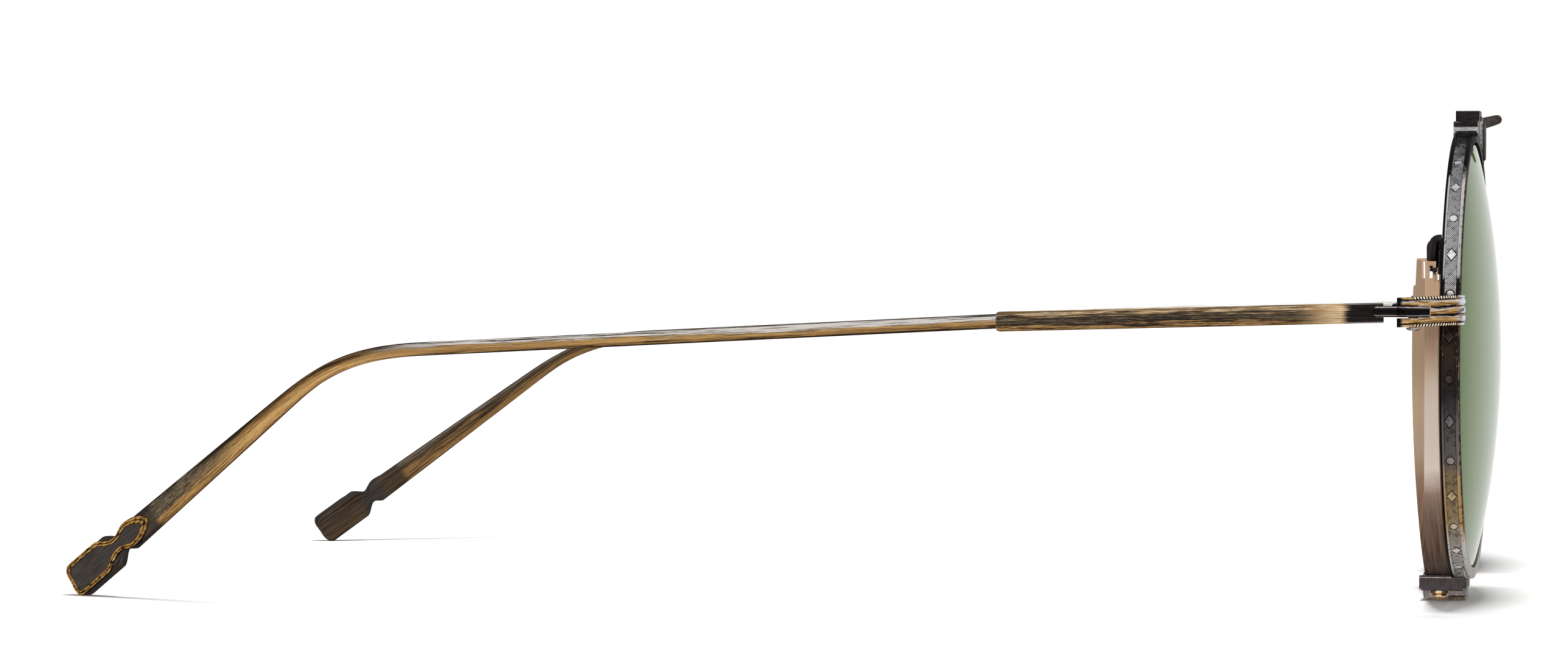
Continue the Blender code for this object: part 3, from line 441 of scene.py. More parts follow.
def down_the_rim(f, stops):
    """Painted reflections in bands along the rim's height: places are in millimetres above the floor, and the
    borders are ragged.
    """
    height = f.times(f.up(), 1 / RIM_RAMP_TOP)
    ragged = f.swing(f.noise(f.place(), 420.0, 5.0, 0.7), 0.09)
    return f.ramp(f.plus(height, ragged), [(at / (1000 * RIM_RAMP_TOP), tone) for at, tone in stops])


def rim_finish(looks):
    """Worn silver over dark metal, with painted reflections in bands by height: black at the top, bright to the
    hinge, then gunmetal, gold and grey.

    The outer third of the rear rail is painted black as shade, and the front rail ends in a thin brown line
    whose black top and pale bottom are painted reflections.
    """
    f = Finish("rim_silver_painted_reflections", 0.85, 0.3)
    place, up, across = f.place(), f.up(), f.value("across")
    dark, gold, silver = looks.dark_metal, looks.antique_gold, looks.rim_silver
    # The margin's tones by height are painted reflections on the round rim
    margin = down_the_rim(f, [
        (2, 0xBAB7B4), (6.5, 0xBEB9B2), (9, gold), (13.5, 0xB09268), (15.5, 0x706A68), (20, 0x605C5C),
        (22, 0x2C292A), (27.5, 0x282422), (34.2, 0x1A1718), (34.8, 0xB2B0B3), (44, silver), (45.4, 0x161314),
    ])
    cracks = f.noise(f.stretched(place, 1, 1, 0.4), 2600.0, 4.0, 0.75)
    hairs = f.noise(f.stretched(place, 1, 1, 0.3), 6500.0, 5.0, 0.75)
    flecks = f.times(f.band(hairs, 0.56, 0.64), f.window(up, (0.0240, 0.0260), (0.0300, 0.0285)))
    margin = f.mix(flecks, margin, 0xB08654)
    margin = f.mix(f.band(cracks, 0.44, 0.36, 0.0, 0.75), margin, dark)
    # Painted shade: the outer part of the rear rail is black
    rail = f.mix(f.band(across, 0.72, 0.80), margin, 0x161314)
    line = f.mix(f.band(cracks, 0.46, 0.54), 0x2C221B, 0x866A48)
    # Painted reflections on the front rail's line: black near the top, pale near the bottom
    line = f.mix(f.band(up, 0.046, 0.045), 0x141112, line)
    line = f.mix(f.band(up, 0.0085, 0.0070), line, 0xC4C1BE)
    rail = f.mix(f.band(across, -0.87, -0.93), rail, line)
    face = f.mix(f.band(f.noise(place, 800.0), 0.45, 0.7), 0x343030, 0x767270)
    # Painted reflections by height on the faces: the margin's tones near the bottom, near black at the top
    face = f.mix(f.band(up, 0.014, 0.006), face, margin)
    face = f.mix(f.band(up, 0.0440, 0.0458), face, 0x1A1718)
    shade = f.mix(f.value("rail"), face, rail)
    return f.paint(shade, f.band(cracks, 0.3, 0.7, 0.24, 0.42), cracks, 0.000012)


def hatch_finish(looks, sizes):
    """Slanting hatch lines with discs and lozenges among them, worked out from the band's surface map.

    A line is where the fraction of (arc - slant * across) / pitch lies about the middle of LINE_AT. By
    turns, a disc or a lozenge is where the reach from the nearest of the even places is under 1.
    """
    f = Finish("hatched_band", 0.85, 0.34)
    place, surface = f.place(), f.surface()
    arc, across = f.part(surface, "X"), f.minus(f.part(surface, "Y"), ACROSS_SHIFT)
    girth = 2 * math.pi * (RIM_RADIUS - sizes.channel)
    pitch = girth / round(girth / sizes.pitch)
    # 1000 pitches more keep the slanted length above zero
    slanted = f.plus(f.minus(arc, f.times(across, sizes.slant)), 1000 * pitch)
    phase = f.calc("FRACT", f.over(slanted, pitch))
    wobble = f.swing(f.noise(place, 1800.0, 3.0, 0.6), 0.3)
    from_middle = f.size(f.minus(f.plus(phase, wobble), (LINE_AT[1] + LINE_AT[2]) / 2))
    line = f.band(from_middle, 0.33, 0.21)
    turns = f.over(arc, girth / sizes.medallions)
    number = f.calc("ROUND", turns)
    off = f.times(f.minus(turns, number), girth / sizes.medallions)
    round_reach = f.calc("SQRT", f.plus(f.times(off, off), f.times(across, across)))
    round_reach = f.over(round_reach, sizes.medallion_size / 2)
    slim_reach = f.plus(f.times(f.size(off), SLIMNESS), f.size(across))
    slim_reach = f.over(slim_reach, sizes.medallion_size * LOZENGE)
    odd = f.size(f.calc("MODULO", number, 2.0))
    reach = f.plus(f.times(round_reach, f.minus(1.0, odd)), f.times(slim_reach, odd))
    line = f.times(line, f.band(reach, 1.15, 1.32))
    top = f.larger(line, f.band(reach, 1.05, 0.92))
    # The ridges' and grooves' tones by height are painted reflections, as on the rim
    ridge = down_the_rim(f, [
        (2, 0xD6D2CE), (6.5, 0xCEC8C0), (9, 0xC4AE8A), (13.5, 0xB29874), (15.5, 0x888382), (20, 0x6C6868),
        (22.5, 0x3E3938), (27, 0x524434), (29.5, 0x3A3534), (32.4, 0x545050), (33.2, 0xEAE8EA),
        (38.5, 0xE6E4E6), (41, 0xCCCACD), (44, looks.rim_silver), (46.6, 0xB8B5B7), (48, 0x686465),
        (49.4, 0x343031),
    ])
    groove = down_the_rim(f, [
        (5, 0x3E3A37), (8.5, 0x342A20), (14, 0x362C24), (17, 0x322F2F), (23, 0x181516), (34.3, 0x120F10),
        (38.0, 0x1A1718), (40.5, 0x5E5B5D), (43.5, 0x565355), (45.0, 0x0E0B0C),
    ])
    worn = f.band(f.noise(place, 1500.0, 5.0, 0.7), 0.36, 0.52)
    ridge = f.mix(worn, f.mix(0.6, ridge, groove), ridge)
    border = f.plus(f.size(across), f.times(f.noise(place, 1400.0), 0.0004))
    margin = f.mix(f.band(f.noise(place, 2600.0), 0.3, 0.5), groove, f.mix(0.15, ridge, groove))
    shade = f.mix(top, groove, ridge)
    shade = f.mix(f.band(border, 0.00066, 0.00074), shade, margin)
    return f.paint(shade, f.band(top, 0.2, 0.8, 0.55, 0.3), top, 0.00003)


def temple_finish(looks):
    """Brushed antique metal with long fine scratches, and painted reflections across each section: pale above,
    gold at the middle, dark below.

    The wide front part is darker between two gold edges that are painted highlights, with a painted gold
    highlight just behind the hinge.
    """
    f = Finish("temple_antique_gold", 0.85, 0.32)
    brush = f.surface()
    fine = f.streaks(brush, 200.0, 9500.0, roughness=0.75)
    long = f.streaks(brush, 70.0, 5200.0, 3.0, 0.6)
    broad = f.streaks(brush, 55.0, 1500.0, 4.0, 0.6)
    run, height, side, past = f.value("run"), f.value("height"), f.value("side"), f.value("past")

    # Height across the section with the streaks mixed in: the ramps on it paint the reflections of a round section,
    # light above and shade below
    def level(fine_share, long_share, broad_share):
        total = f.plus(f.times(height, 0.5), 0.5 - (fine_share + long_share + broad_share) / 2)
        for streaks, share in ((fine, fine_share), (long, long_share), (broad, broad_share)):
            total = f.plus(total, f.times(streaks, share))
        return total

    dark = looks.temple_dark
    shaft = f.ramp(level(0.24, 0.20, 0.14), [
        (0.0, 0x2C211A), (0.13, 0x423122), (0.22, 0xB08652), (0.32, 0x785A36), (0.42, 0xCEA46A),
        (0.54, 0xA07A4A), (0.585, 0x46382B), (0.63, 0x968A7C), (0.70, 0xDED8D2), (0.92, 0xD0CAC4),
        (0.975, 0x4A423A), (1.0, 0x28221F),
    ])
    wide = f.ramp(level(0.34, 0.36, 0.16), [
        (0.0, 0x543E28), (0.06, 0xCEA670), (0.14, 0x9E7444), (0.21, 0x38302A), (0.38, 0x241F1C), (0.46, dark),
        (0.51, 0x968062), (0.55, dark), (0.68, 0x2A2521), (0.76, 0x68543C), (0.84, 0xC09C6E), (0.93, 0xECD8B8),
        (1.0, 0x6E563A),
    ])
    bright = f.mix(fine, 0x966C3A, 0xF8E0B6)
    # Painted highlight on the wide part just behind the hinge
    glow = f.band(f.plus(run, f.times(fine, 0.0030)), 0.0105, 0.0062)
    glow = f.times(f.band(run, 0.0034, 0.0044), glow)
    wide = f.mix(glow, wide, bright)
    plain = f.mix(f.times(fine, 0.4), 0x191516, 0x423B39)
    # Painted highlights along the upper and lower edges of the dark front end
    edge = f.window(f.size(height), (0.86, 0.90), (0.96, 0.92))
    plain = f.mix(f.times(edge, 0.8), plain, 0xBAB2AA)
    wide = f.mix(f.band(f.plus(run, f.times(fine, 0.0006)), 0.0046, 0.0036), wide, plain)
    outer = f.mix(f.band(run, 0.03885, 0.0391), wide, shaft)
    slope = f.ramp(level(0.30, 0.26, 0.10), [
        (0.0, 0x8C6438), (0.08, 0xE8C288), (0.16, 0xB0824A), (0.24, 0xE4BA7A), (0.34, 0xB4864E),
        (0.42, 0x684C2C), (0.48, 0xD4A86C), (0.56, 0x866238), (0.66, 0x483624), (0.74, 0x8C6A40),
        (0.80, 0x382B1F), (1.0, 0x261E18),
    ])
    outer = f.mix(f.band(f.minus(past, f.times(fine, 0.004)), 0.052, 0.042), outer, slope)
    tip = f.ramp(level(0.40, 0.34, 0.06), [
        (0.0, 0x6E5432), (0.08, 0xD8AA6A), (0.19, 0xA87E48), (0.26, 0x342C26), (0.34, 0x423B35),
        (0.43, 0x36302B), (0.48, 0xCEB48C), (0.52, 0x38322D), (0.65, dark), (0.70, 0xBAA480), (0.74, 0x342E29),
        (0.90, 0x3A322C), (1.0, 0x1C1816),
    ])
    outer = f.mix(f.band(past, 0.031, 0.018), outer, tip)
    shoulder = f.mix(f.times(long, 0.5), 0x302C2A, 0x605444)
    outer = f.mix(f.band(past, 0.0140, 0.0128), outer, shoulder)
    inner = f.ramp(level(0.32, 0.30, 0.24), [
        (0.0, 0x58422A), (0.16, 0xA27C4E), (0.32, 0x705434), (0.42, 0x98754A), (0.54, 0x443628),
        (0.70, 0x322921), (0.82, 0x5C4B36), (0.90, 0x3A322B), (1.0, 0x766B5F),
    ])
    # Painted reflection: the upper part of the inner face at the front is near white
    front_inner = f.ramp(level(0.3, 0.3, 0.2), [
        (0.0, 0x967A54), (0.2, dark), (0.5, 0x786C5C), (0.66, 0xE2DED6), (0.80, 0xFAF9F7), (1.0, 0xFCFCFC),
    ])
    inner = f.mix(f.band(run, 0.0385, 0.0400), front_inner, inner)
    shade = f.mix(f.band(side, 0.3, -0.3), outer, inner)
    under = f.times(f.band(past, 0.0135, 0.0125), f.band(side, 0.96, 0.90))
    shade = f.mix(f.times(under, 0.9), shade, f.mix(fine, 0x221C19, 0x54463A))
    neck = f.window(past, (0.0060, 0.0068), (0.0100, 0.0090))
    worn_neck = f.mix(f.times(fine, 0.4), 0x1E1B1C, 0x6E6A6A)
    shade = f.mix(f.times(neck, 0.8), shade, worn_neck)
    grooves = f.plus(f.times(fine, 0.6), f.times(long, 0.4))
    return f.paint(shade, f.band(fine, 0.0, 1.0, 0.42, 0.24), grooves, 0.000014)


def endpiece_finish():
    """Worn gold flutes, with a painted silvery highlight along their upper shoulders and painted black shade in
    their grooves, and blackened fork ends.
    """
    f = Finish("endpiece_antique_gold", 0.9, 0.28)
    surface = f.surface()
    streak = f.streaks(surface, 600.0, 7500.0)
    patch = f.band(f.noise(f.stretched(surface, 420.0, 1700.0), 1.0, 3.0, 0.6), 0.36, 0.64)
    jitter = f.plus(f.times(streak, 0.24), f.times(patch, 0.26))
    phase = f.plus(f.value("phase"), f.minus(jitter, 0.25))
    # Across each flute: painted shade in the grooves, gold on the crown and a painted silvery highlight on the
    # upper shoulder
    shade = f.ramp(phase, [
        (0.0, 0x16110F), (0.10, 0x422E1C), (0.22, 0xA07642), (0.42, 0xC89E62), (0.56, 0xAC824C),
        (0.68, 0xE2C8A0), (0.78, 0xD6D0D2), (0.88, 0x969096), (0.95, 0x282120), (1.0, 0x16110F),
    ])
    shade = f.mix(f.times(f.band(streak, 0.36, 0.10), 0.9), shade, 0x422D1A)
    shade = f.mix(f.times(f.band(streak, 0.78, 0.95), 0.7), shade, 0xF0E2CA)
    front = f.mix(f.band(patch, 0.2, 0.7), 0x8C8A8E, 0xE8E7EC)
    shade = f.mix(f.times(f.value("nose"), f.band(f.value("phase"), 0.08, 0.2)), shade, front)
    rail = f.mix(f.value("rail"), shade, 0x221B18)
    shade = f.mix(f.value("inside"), rail, f.mix(streak, 0x6E5436, 0xBE9864))
    shade = f.mix(f.value("burnt"), shade, f.mix(f.times(streak, 0.3), 0x141112, 0x5A5454))
    return f.paint(shade, f.band(streak, 0.0, 1.0, 0.4, 0.2), f.plus(streak, patch), 0.00002)


def bead_finish():
    """Beads with a painted highlight on their tops and painted shade at their foot."""
    f = Finish("milled_beads", 0.9, 0.24)
    place = f.place()
    worn = f.band(f.noise(place, 2500.0), 0.36, 0.56)
    top = f.mix(worn, 0xD6B07A, 0xF6EEE2)
    # Painted shade at the foot and a painted highlight on the outer top of each bead
    shade = f.mix(f.band(f.value("ridge"), 0.30, 0.72), 0x18120F, top)
    return f.paint(shade, 0.24, f.noise(place, 5000.0), 0.000006)


def dark_finish(name, face, grain_tone, roughness):
    """Polished dark metal with a faint grain."""
    f = Finish(name, 0.8, roughness)
    grain = f.grain((1, 1, 0.25), 2600.0, 5.0, 0.65, 0.70)
    shade = f.mix(grain, face, grain_tone)
    return f.paint(shade, f.band(grain, 0.0, 1.0, roughness - 0.04, roughness + 0.1), grain, 0.000005)


def clamp_finish():
    """Gunmetal with a painted highlight line under its upper edge, and a paler leg and fin."""
    f = Finish("clamp_gunmetal", 0.8, 0.3)
    up, grain = f.up(), f.grain((1, 1, 0.25), 2600.0, 5.0, 0.65, 0.70)
    shade = f.mix(grain, 0x463E40, 0x5A5253)
    # Painted highlight along the upper bevel
    line = f.window(up, (0.00242, 0.00246), (0.00254, 0.00250))
    shade = f.mix(line, shade, f.mix(grain, 0x96908C, 0xE0DBD6))
    foot = f.mix(grain, 0x746A65, 0xA0968F)
    shade = f.mix(f.band(up, 0.00112, 0.00106), shade, foot)
    return f.paint(shade, f.band(grain, 0.0, 1.0, 0.26, 0.4), grain, 0.000005)


def edge_highlight_finish():
    """Dark metal with painted highlights in patches along its edges."""
    f = Finish("painted_edge_highlight", 0.85, 0.25)
    highlight_patches = f.noise(f.place(), 1400.0, 4.0, 0.7)
    # Painted highlight: bright patches on dark metal, for the light caught along bevels
    shade = f.mix(f.band(highlight_patches, 0.34, 0.56), 0x46403E, 0xBCB5B0)
    return f.paint(shade, 0.25, highlight_patches, 0.000005)


def bracket_finish(looks):
    """Black polished metal with a silvery painted highlight in a band round the saddle, and a silvery tongue."""
    f = Finish("bracket_black_silver", 0.85, 0.2)
    place, up, grain = f.place(), f.up(), f.grain((1, 1, 3.0), 1500.0)
    black = f.mix(grain, looks.dark_metal, 0x302C2C)
    silver = f.mix(grain, 0x969394, 0xCECCCE)
    # Painted highlight: a silvery band round the saddle
    saddle_highlight = f.window(up, (0.04948, 0.04960), (0.05026, 0.05012))
    out = f.minus(f.size(f.part(place, "X")), EYE[0])
    back = f.times(f.minus(f.part(place, "Y"), EYE[1]), math.cos(WRAP))
    back = f.minus(back, f.times(out, math.sin(WRAP)))
    tongue = f.times(f.band(back, -0.00120, -0.00130), f.band(up, 0.0509, 0.0507))
    shade = f.mix(f.larger(saddle_highlight, tongue), black, silver)
    return f.paint(shade, f.band(grain, 0.0, 1.0, 0.16, 0.3), grain, 0.000006)


def leaf_finish():
    """Black polished metal with painted highlights as pale lines along its upper and lower edge and the floor of
    its groove.
    """
    f = Finish("leaf_black", 0.85, 0.2)
    grain = f.grain((1, 0.25, 1), 3200.0)
    level = f.plus(f.value("height"), f.swing(grain, 0.10))
    # Painted highlights: pale lines by height along the edges and the groove's floor
    shade = f.ramp(f.times(f.plus(level, 1.0), 0.5), [
        (0.0, 0x78706A), (0.06, 0x221D1D), (0.12, 0x181415), (0.17, 0xBAB0AA), (0.21, 0x1E1A1B),
        (0.62, 0x141112), (0.84, 0x2E2828), (0.90, 0xCEC8C6), (0.95, 0x5A5454), (1.0, 0x1C1819),
    ])
    return f.paint(shade, f.band(grain, 0.0, 1.0, 0.16, 0.28), grain, 0.000005)


def shield_finish(looks):
    """Brushed rose-beige metal, with a broad painted highlight behind the rim's middle and painted shade brown at
    the bottom.
    """
    f = Finish("shield_rose_beige", 0.75, 0.42)
    surface = f.surface()
    stroke = f.noise(f.stretched(surface, 90.0, 5200.0), 1.0)
    cloud = f.swing(f.noise(f.place(), 160.0, 3.0, 0.5), 0.10)
    height = f.plus(f.times(f.up(), 1 / SHIELD_RAMP_TOP), cloud)
    # Painted light by height: shade brown at the bottom, a pale highlight in the middle
    tone = f.ramp(height, [
        (0.05, 0x4E3A2F), (0.22, 0x5C463A), (0.30, 0x8C7263), (0.37, 0xDECEC2), (0.54, 0xD6C4B6),
        (0.62, looks.shield_beige), (0.68, 0xAA8C76), (0.74, 0xC4A486), (0.86, 0xBE9C7C), (1.0, 0x96785C),
    ])
    warm = f.ramp(height, [
        (0.05, 0x543E30), (0.26, 0x80604A), (0.50, 0xC4A080), (1.0, 0xC6A88E),
    ])
    rearward = f.band(f.part(surface, "Y"), 0.0133, 0.0146)
    tone = f.mix(f.times(rearward, 0.8), tone, warm)
    shade = f.mix(f.band(stroke, 0.36, 0.68, 0.0, 0.13), tone, 0xECDCCC)
    return f.paint(shade, f.band(stroke, 0.3, 0.7, 0.36, 0.46), stroke, 0.000003)


def screw_finish():
    """Bright gold with painted highlights and painted shade in rings by height over its tiers, broken into spots by
    noise.
    """
    f = Finish("screw_gold", 0.95, 0.2)
    worn = f.noise(f.place(), 1500.0, 4.0, 0.65)
    # The noise shifts the painted rings of highlight and shade, so that they break into spots
    height = f.plus(f.times(f.up(), 1 / SCREW_RAMP_TOP), f.swing(worn, 0.35))
    shade = f.ramp(height, [
        (0.06, 0x704E2E), (0.20, 0xCEA674), (0.34, 0xFAE4C2), (0.44, 0x825832), (0.54, 0xE2BC8A),
        (0.68, 0xFCECD0), (0.78, 0x966A3E), (0.88, 0xF0D4A8), (1.0, 0x604228),
    ])
    return f.paint(shade, 0.2, worn, 0.00001)


def pad_finish():
    """Brown moulded rubber with a fine pebbled skin."""
    f = Finish("pad_brown_rubber", 0.0, 0.62)
    place = f.place()
    pebbles = f.node("ShaderNodeTexVoronoi", "Distance", {"Vector": place, "Scale": 9000.0})
    mottle = f.noise(place, 2500.0, 4.0, 0.7)
    shade = f.mix(f.band(mottle, 0.35, 0.68), 0x544436, 0xB6A288)
    return f.paint(shade, f.band(mottle, 0.3, 0.7, 0.5, 0.75), pebbles, 0.00003)


def plaque_finish():
    """Worn gold ridges with black roots and cracks round a brushed dark panel."""
    f = Finish("tip_plaque", 0.85, 0.32)
    surface = f.surface()
    brush = f.streaks(surface, 420.0, 5200.0)
    blot = f.streaks(surface, 1300.0, 3600.0, 4.0)
    gold = f.mix(brush, 0x7A5428, 0xCE9C58)
    gold = f.mix(f.band(blot, 0.40, 0.16), gold, 0x2C1E12)
    gold = f.mix(f.times(f.band(blot, 0.8, 1.0), 0.6), gold, 0xF8D698)
    ridge = f.mix(f.band(f.value("ridge"), 0.25, 0.62), 0x110C09, gold)
    panel = f.mix(f.times(brush, 0.6), 0x3A3633, 0x5C554E)
    shade = f.mix(f.value("panel"), ridge, panel)
    return f.paint(shade, f.band(brush, 0.0, 1.0, 0.42, 0.26), f.plus(brush, blot), 0.000016)


def lens_finish(looks):
    """Green glass, deepest at its edge and paler at the middle of the dome by a painted reflection, as
    1 - (share of the radius)^2.
    """
    f = Finish("lens_green_glass", 0.0, 0.04)
    veil = f.noise(f.place(), 90.0, 2.0, 0.5)
    reach = f.value("reach")
    tint = f.mix(f.band(veil, 0.3, 0.7, 0.0, 0.10), looks.lens_green, 0x708C48)
    # Painted reflection: the tint turns pale towards the middle of the dome
    pale = f.calc("SUBTRACT", 1.0, f.times(reach, reach), clamp=True)
    tint = f.mix(f.times(pale, 0.8), tint, 0x96A686)
    f.shader.inputs["Transmission Weight"].default_value = 0.1
    f.shader.inputs["IOR"].default_value = 1.25
    f.shader.inputs["Specular IOR Level"].default_value = 0.2
    return f.paint(tint, f.band(veil, 0.3, 0.7, 0.03, 0.06))


def floor_finish(stage):
    """A matt pale floor that shows shadows to the camera, and plain white in mirrors and through glass.

    The camera sees it raised by a glow that grows from FLOOR_NEAR to FLOOR_FAR from the middle.
    """
    material = bpy.data.materials.new("floor_pale")
    f = Nodes(material)
    distance = f.node("ShaderNodeVectorMath", "Value", {0: f.place()}, operation="LENGTH")
    lift = f.node("ShaderNodeMapRange", 0, {
        "Value": distance, "From Min": FLOOR_NEAR, "From Max": FLOOR_FAR,
        "To Min": stage.floor_lift, "To Max": stage.floor_lift + FLOOR_GLOW,
    })
    glow = f.node("ShaderNodeEmission", 0, {"Strength": f.times(lift, f.ray("Camera"))})
    matt = f.node("ShaderNodeBsdfDiffuse", 0, {"Color": (FLOOR_WHITE, FLOOR_WHITE, FLOOR_WHITE, 1)})
    seen = f.node("ShaderNodeAddShader", 0, {0: matt, 1: glow})
    mirrored = f.larger(f.ray("Glossy"), f.ray("Transmission"))
    plain = f.node("ShaderNodeEmission")
    f.close("ShaderNodeOutputMaterial", f.node("ShaderNodeMixShader", 0, {0: mirrored, 1: seen, 2: plain}))
    return material


# What a user would change

def a_length(name, description, default):
    return FloatProperty(name=name, description=description, default=default, min=0.0, precision=5,
                         unit="LENGTH", subtype="DISTANCE")


def a_colour(name, description, default):
    return FloatVectorProperty(name=name, description=description, default=colour(default)[:3], size=3,
                               min=0.0, max=1.0, subtype="COLOR")


def a_number(name, description, default, **settings):
    return FloatProperty(name=name, description=description, default=default, min=0.0, **settings)


def a_count(name, description, default, low):
    return IntProperty(name=name, description=description, default=default, min=low)


class SunglassesRims(bpy.types.PropertyGroup):
    wall: a_length("Wall", "Rim thickness from bore to outside", RIM_WALL)
    depth: a_length("Depth", "Rim size from front to rear", 0.00208)
    chamfer: a_length("Chamfer", "Small flat on the rim's outer corners", 0.00014)
    rail: a_length("Rail", "Width of the plain rail at each side of the band", 0.00040)
    channel: a_length("Channel", "Depth of the engraved band below the rails", 0.00007)
    pitch: a_length("Hatch pitch", "Distance from one hatch line to the next", 0.00021)
    relief: a_length("Hatch relief", "Height of the hatch lines", 0.00005)
    slant: a_number("Hatch slant", "How far a line runs along the rim for each unit across it", 1.05)
    medallions: a_count("Medallions", "Discs and lozenges spaced round each rim", 34, 1)
    medallion_size: a_length("Medallion size", "Diameter of a disc in the band", 0.00080)


class SunglassesLenses(bpy.types.PropertyGroup):
    front_radius: a_length("Front radius", "Radius of the lens's domed front", 0.095)
    thickness: a_length("Thickness", "Lens thickness", 0.0018)
    play: a_length("Play", "Gap between lens and bore", 0.0003)
    bevel: a_length("Bevel land", "Width of the flat on the edge that stands in the groove", 0.0006)


class SunglassesTemples(bpy.types.PropertyGroup):
    wide_length: a_length("Wide length", "Length of the wide front part", 0.0390)
    wide_height: a_length("Wide height", "Height of the wide front part", 0.00203)
    wide_thickness: a_length("Wide thickness", "Thickness of the wide front part", 0.0016)
    shaft_height: a_length("Shaft height", "Height of the slender shaft", 0.00141)
    shaft_thickness: a_length("Shaft thickness", "Thickness of the slender shaft", 0.0012)
    bend_at: a_length("Bend", "Distance along the temple to the middle of the ear bend", 0.1055)
    bend_length: a_length("Bend length", "Length over which the temple bends", 0.018)
    border: a_length("Border relief", "Height of the two ridges round the tip's panel", 0.00011)


class SunglassesTrim(bpy.types.PropertyGroup):
    flute_depth: a_length("Flute depth", "Depth of the grooves between the endpiece's flutes", 0.00022)
    bead_rail: a_length("Bead rail", "Height of the rail that carries the beads", 0.00027)
    bead_length: a_length("Bead length", "Size of a bead along its row", 0.00027)
    beads: a_count("Beads", "Beads in each row on an endpiece", 16, 2)
    bar_diameter: a_length("Bar diameter", "Thickness of the brow bar", 0.00106)
    bar_bow: a_length("Bar bow", "How far the brow bar's middle stands forward", 0.0032)
    bar_bow_length: a_length("Bow length", "Width of the brow bar's bowed part", 0.013)
    bar_rise: a_length("Bar rise", "How far the brow bar's middle rises", 0.00085)


class SunglassesLooks(bpy.types.PropertyGroup):
    rim_silver: a_colour("Rim silver", "Bright parts of the rims", 0xBCBBBE)
    dark_metal: a_colour("Dark metal", "Brackets, hooks and leaves", 0x221F20)
    antique_gold: a_colour("Antique gold", "Temples and endpieces", 0xAA8654)
    temple_dark: a_colour("Temple dark", "Dark brushed parts of the temples", 0x423B34)
    shield_beige: a_colour("Shield beige", "Light shields", 0xBCA28A)
    lens_green: a_colour("Lens green", "Lenses", 0x56722E)


class SunglassesStage(bpy.types.PropertyGroup):
    focal: a_number("Lens", "Focal length on a 36 mm frame", 116.6, unit="CAMERA")
    floor_size: a_length("Floor size", "Side of the floor", 40.0)
    floor_lift: a_number("Floor lift", "How much the floor's white is raised near the frame", 0.0)
    daylight: a_number("Daylight", "Strength of the even light from all round", 0.45)
    key_power: a_number("Key power", "Power of the lamp above", 3.0, unit="POWER")


# The pieces

RIM_STEPS, LENS_STEPS, LENS_RINGS, BAR_STATIONS, BAR_SIDES = 288, 160, 25, 161, 24
# How far the cutters reach to either side: past the thickness of a temple or endpiece, its height, and the rim
THICKNESS_REACH, HEIGHT_REACH, RIM_REACH = 0.004, 0.01, 0.02


def rim_section(sizes):
    """The ring's section as (radius, back) corners, and which of them lie on a rail."""
    half, radius = sizes.depth / 2, RIM_RADIUS
    bore = radius - sizes.wall
    inner = half - sizes.rail
    front = [
        (bore, -half, 0), (radius - sizes.chamfer, -half, 0),
        (radius - sizes.chamfer * 0.4, -half + sizes.chamfer * 0.25, 1), (radius, -half + sizes.chamfer, 1),
        (radius, -half + sizes.chamfer * 1.6, 1), (radius, -inner, 1),
        (radius - sizes.channel, -inner + sizes.channel, 0),
    ]
    rear = [(r, -y, rail) for r, y, rail in front[::-1]]
    rear.insert(2, (radius, half - sizes.rail * 0.45, 1))
    deep, mouth, floor = bore + GROOVE_DEPTH, GROOVE_MOUTH / 2, GROOVE_FLOOR / 2
    groove = [(bore, mouth, 0), (deep, floor, 0), (deep, -floor, 0), (bore, -mouth, 0)]
    return np.array(front + rear + groove)


def make_rim(context, side):
    """The plain ring: its section revolved."""
    sizes = context.scene.sunglasses_rims
    section = rim_section(sizes)
    points, faces = revolved(section[:, :2], RIM_STEPS, True)
    back = section[:, 1] / (sizes.depth / 2)
    values = {"rail": np.tile(section[:, 2], RIM_STEPS), "across": np.tile(back, RIM_STEPS)}
    piece = add_piece("rim_ring_" + side, "front", "rim", from_eye(points, side), faces, values=values)
    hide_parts("rim_" + side)


def make_band(context, side):
    """The engraved band in the rim's channel.

    Its columns run slanted across the band, four to each hatch line, and stand high for a line and low
    for the gap after it. Along the middle, discs and lozenges with a clear margin break the hatch. The
    points at the band's edges stand half as high.
    """
    sizes = context.scene.sunglasses_rims
    floor = RIM_RADIUS - sizes.channel
    half = sizes.depth / 2 - sizes.rail - sizes.channel
    lines = round(2 * math.pi * floor / sizes.pitch)
    columns = lines * len(LINE_AT)
    across = np.linspace(-1, 1, BAND_POINTS) * half
    along = (np.repeat(np.arange(lines), len(LINE_AT)) + np.tile(LINE_AT, lines)) / lines * 2 * math.pi
    turn = along[:, None] + across * sizes.slant / floor
    line_height = np.tile([0.0, 1.0, 1.0, 0.0], lines)[:, None]
    spacing = 2 * math.pi / sizes.medallions
    number = np.round(turn / spacing)
    off = (turn - number * spacing) * floor
    disc = np.hypot(off, across) / (sizes.medallion_size / 2)
    lozenge = (np.abs(off) * SLIMNESS + np.abs(across)) / (sizes.medallion_size * LOZENGE)
    reach = np.where(number % 2 == 0, disc, lozenge)
    height = np.where(reach < 1.0, 1.0, np.where(reach < MARGIN, 0.0, line_height))
    height[:, [0, -1]] *= 0.5
    radius = np.pad(floor + height * sizes.relief, ((0, 0), (1, 1)), constant_values=floor - BAND_ROOT)
    back, turn = np.pad(across, 1, "edge"), np.pad(turn, ((0, 0), (1, 1)), "edge")
    points = about_axis(radius, back, turn).reshape(-1, 3)
    surface = stacked(turn * floor, back + ACROSS_SHIFT).reshape(-1, 2)
    piece = add_piece("rim_band_" + side, "front", "hatch", from_eye(points, side),
                      grid_faces(columns, radius.shape[1], True, True), surface,
                      (2 * math.pi * floor, None), sharp=60)


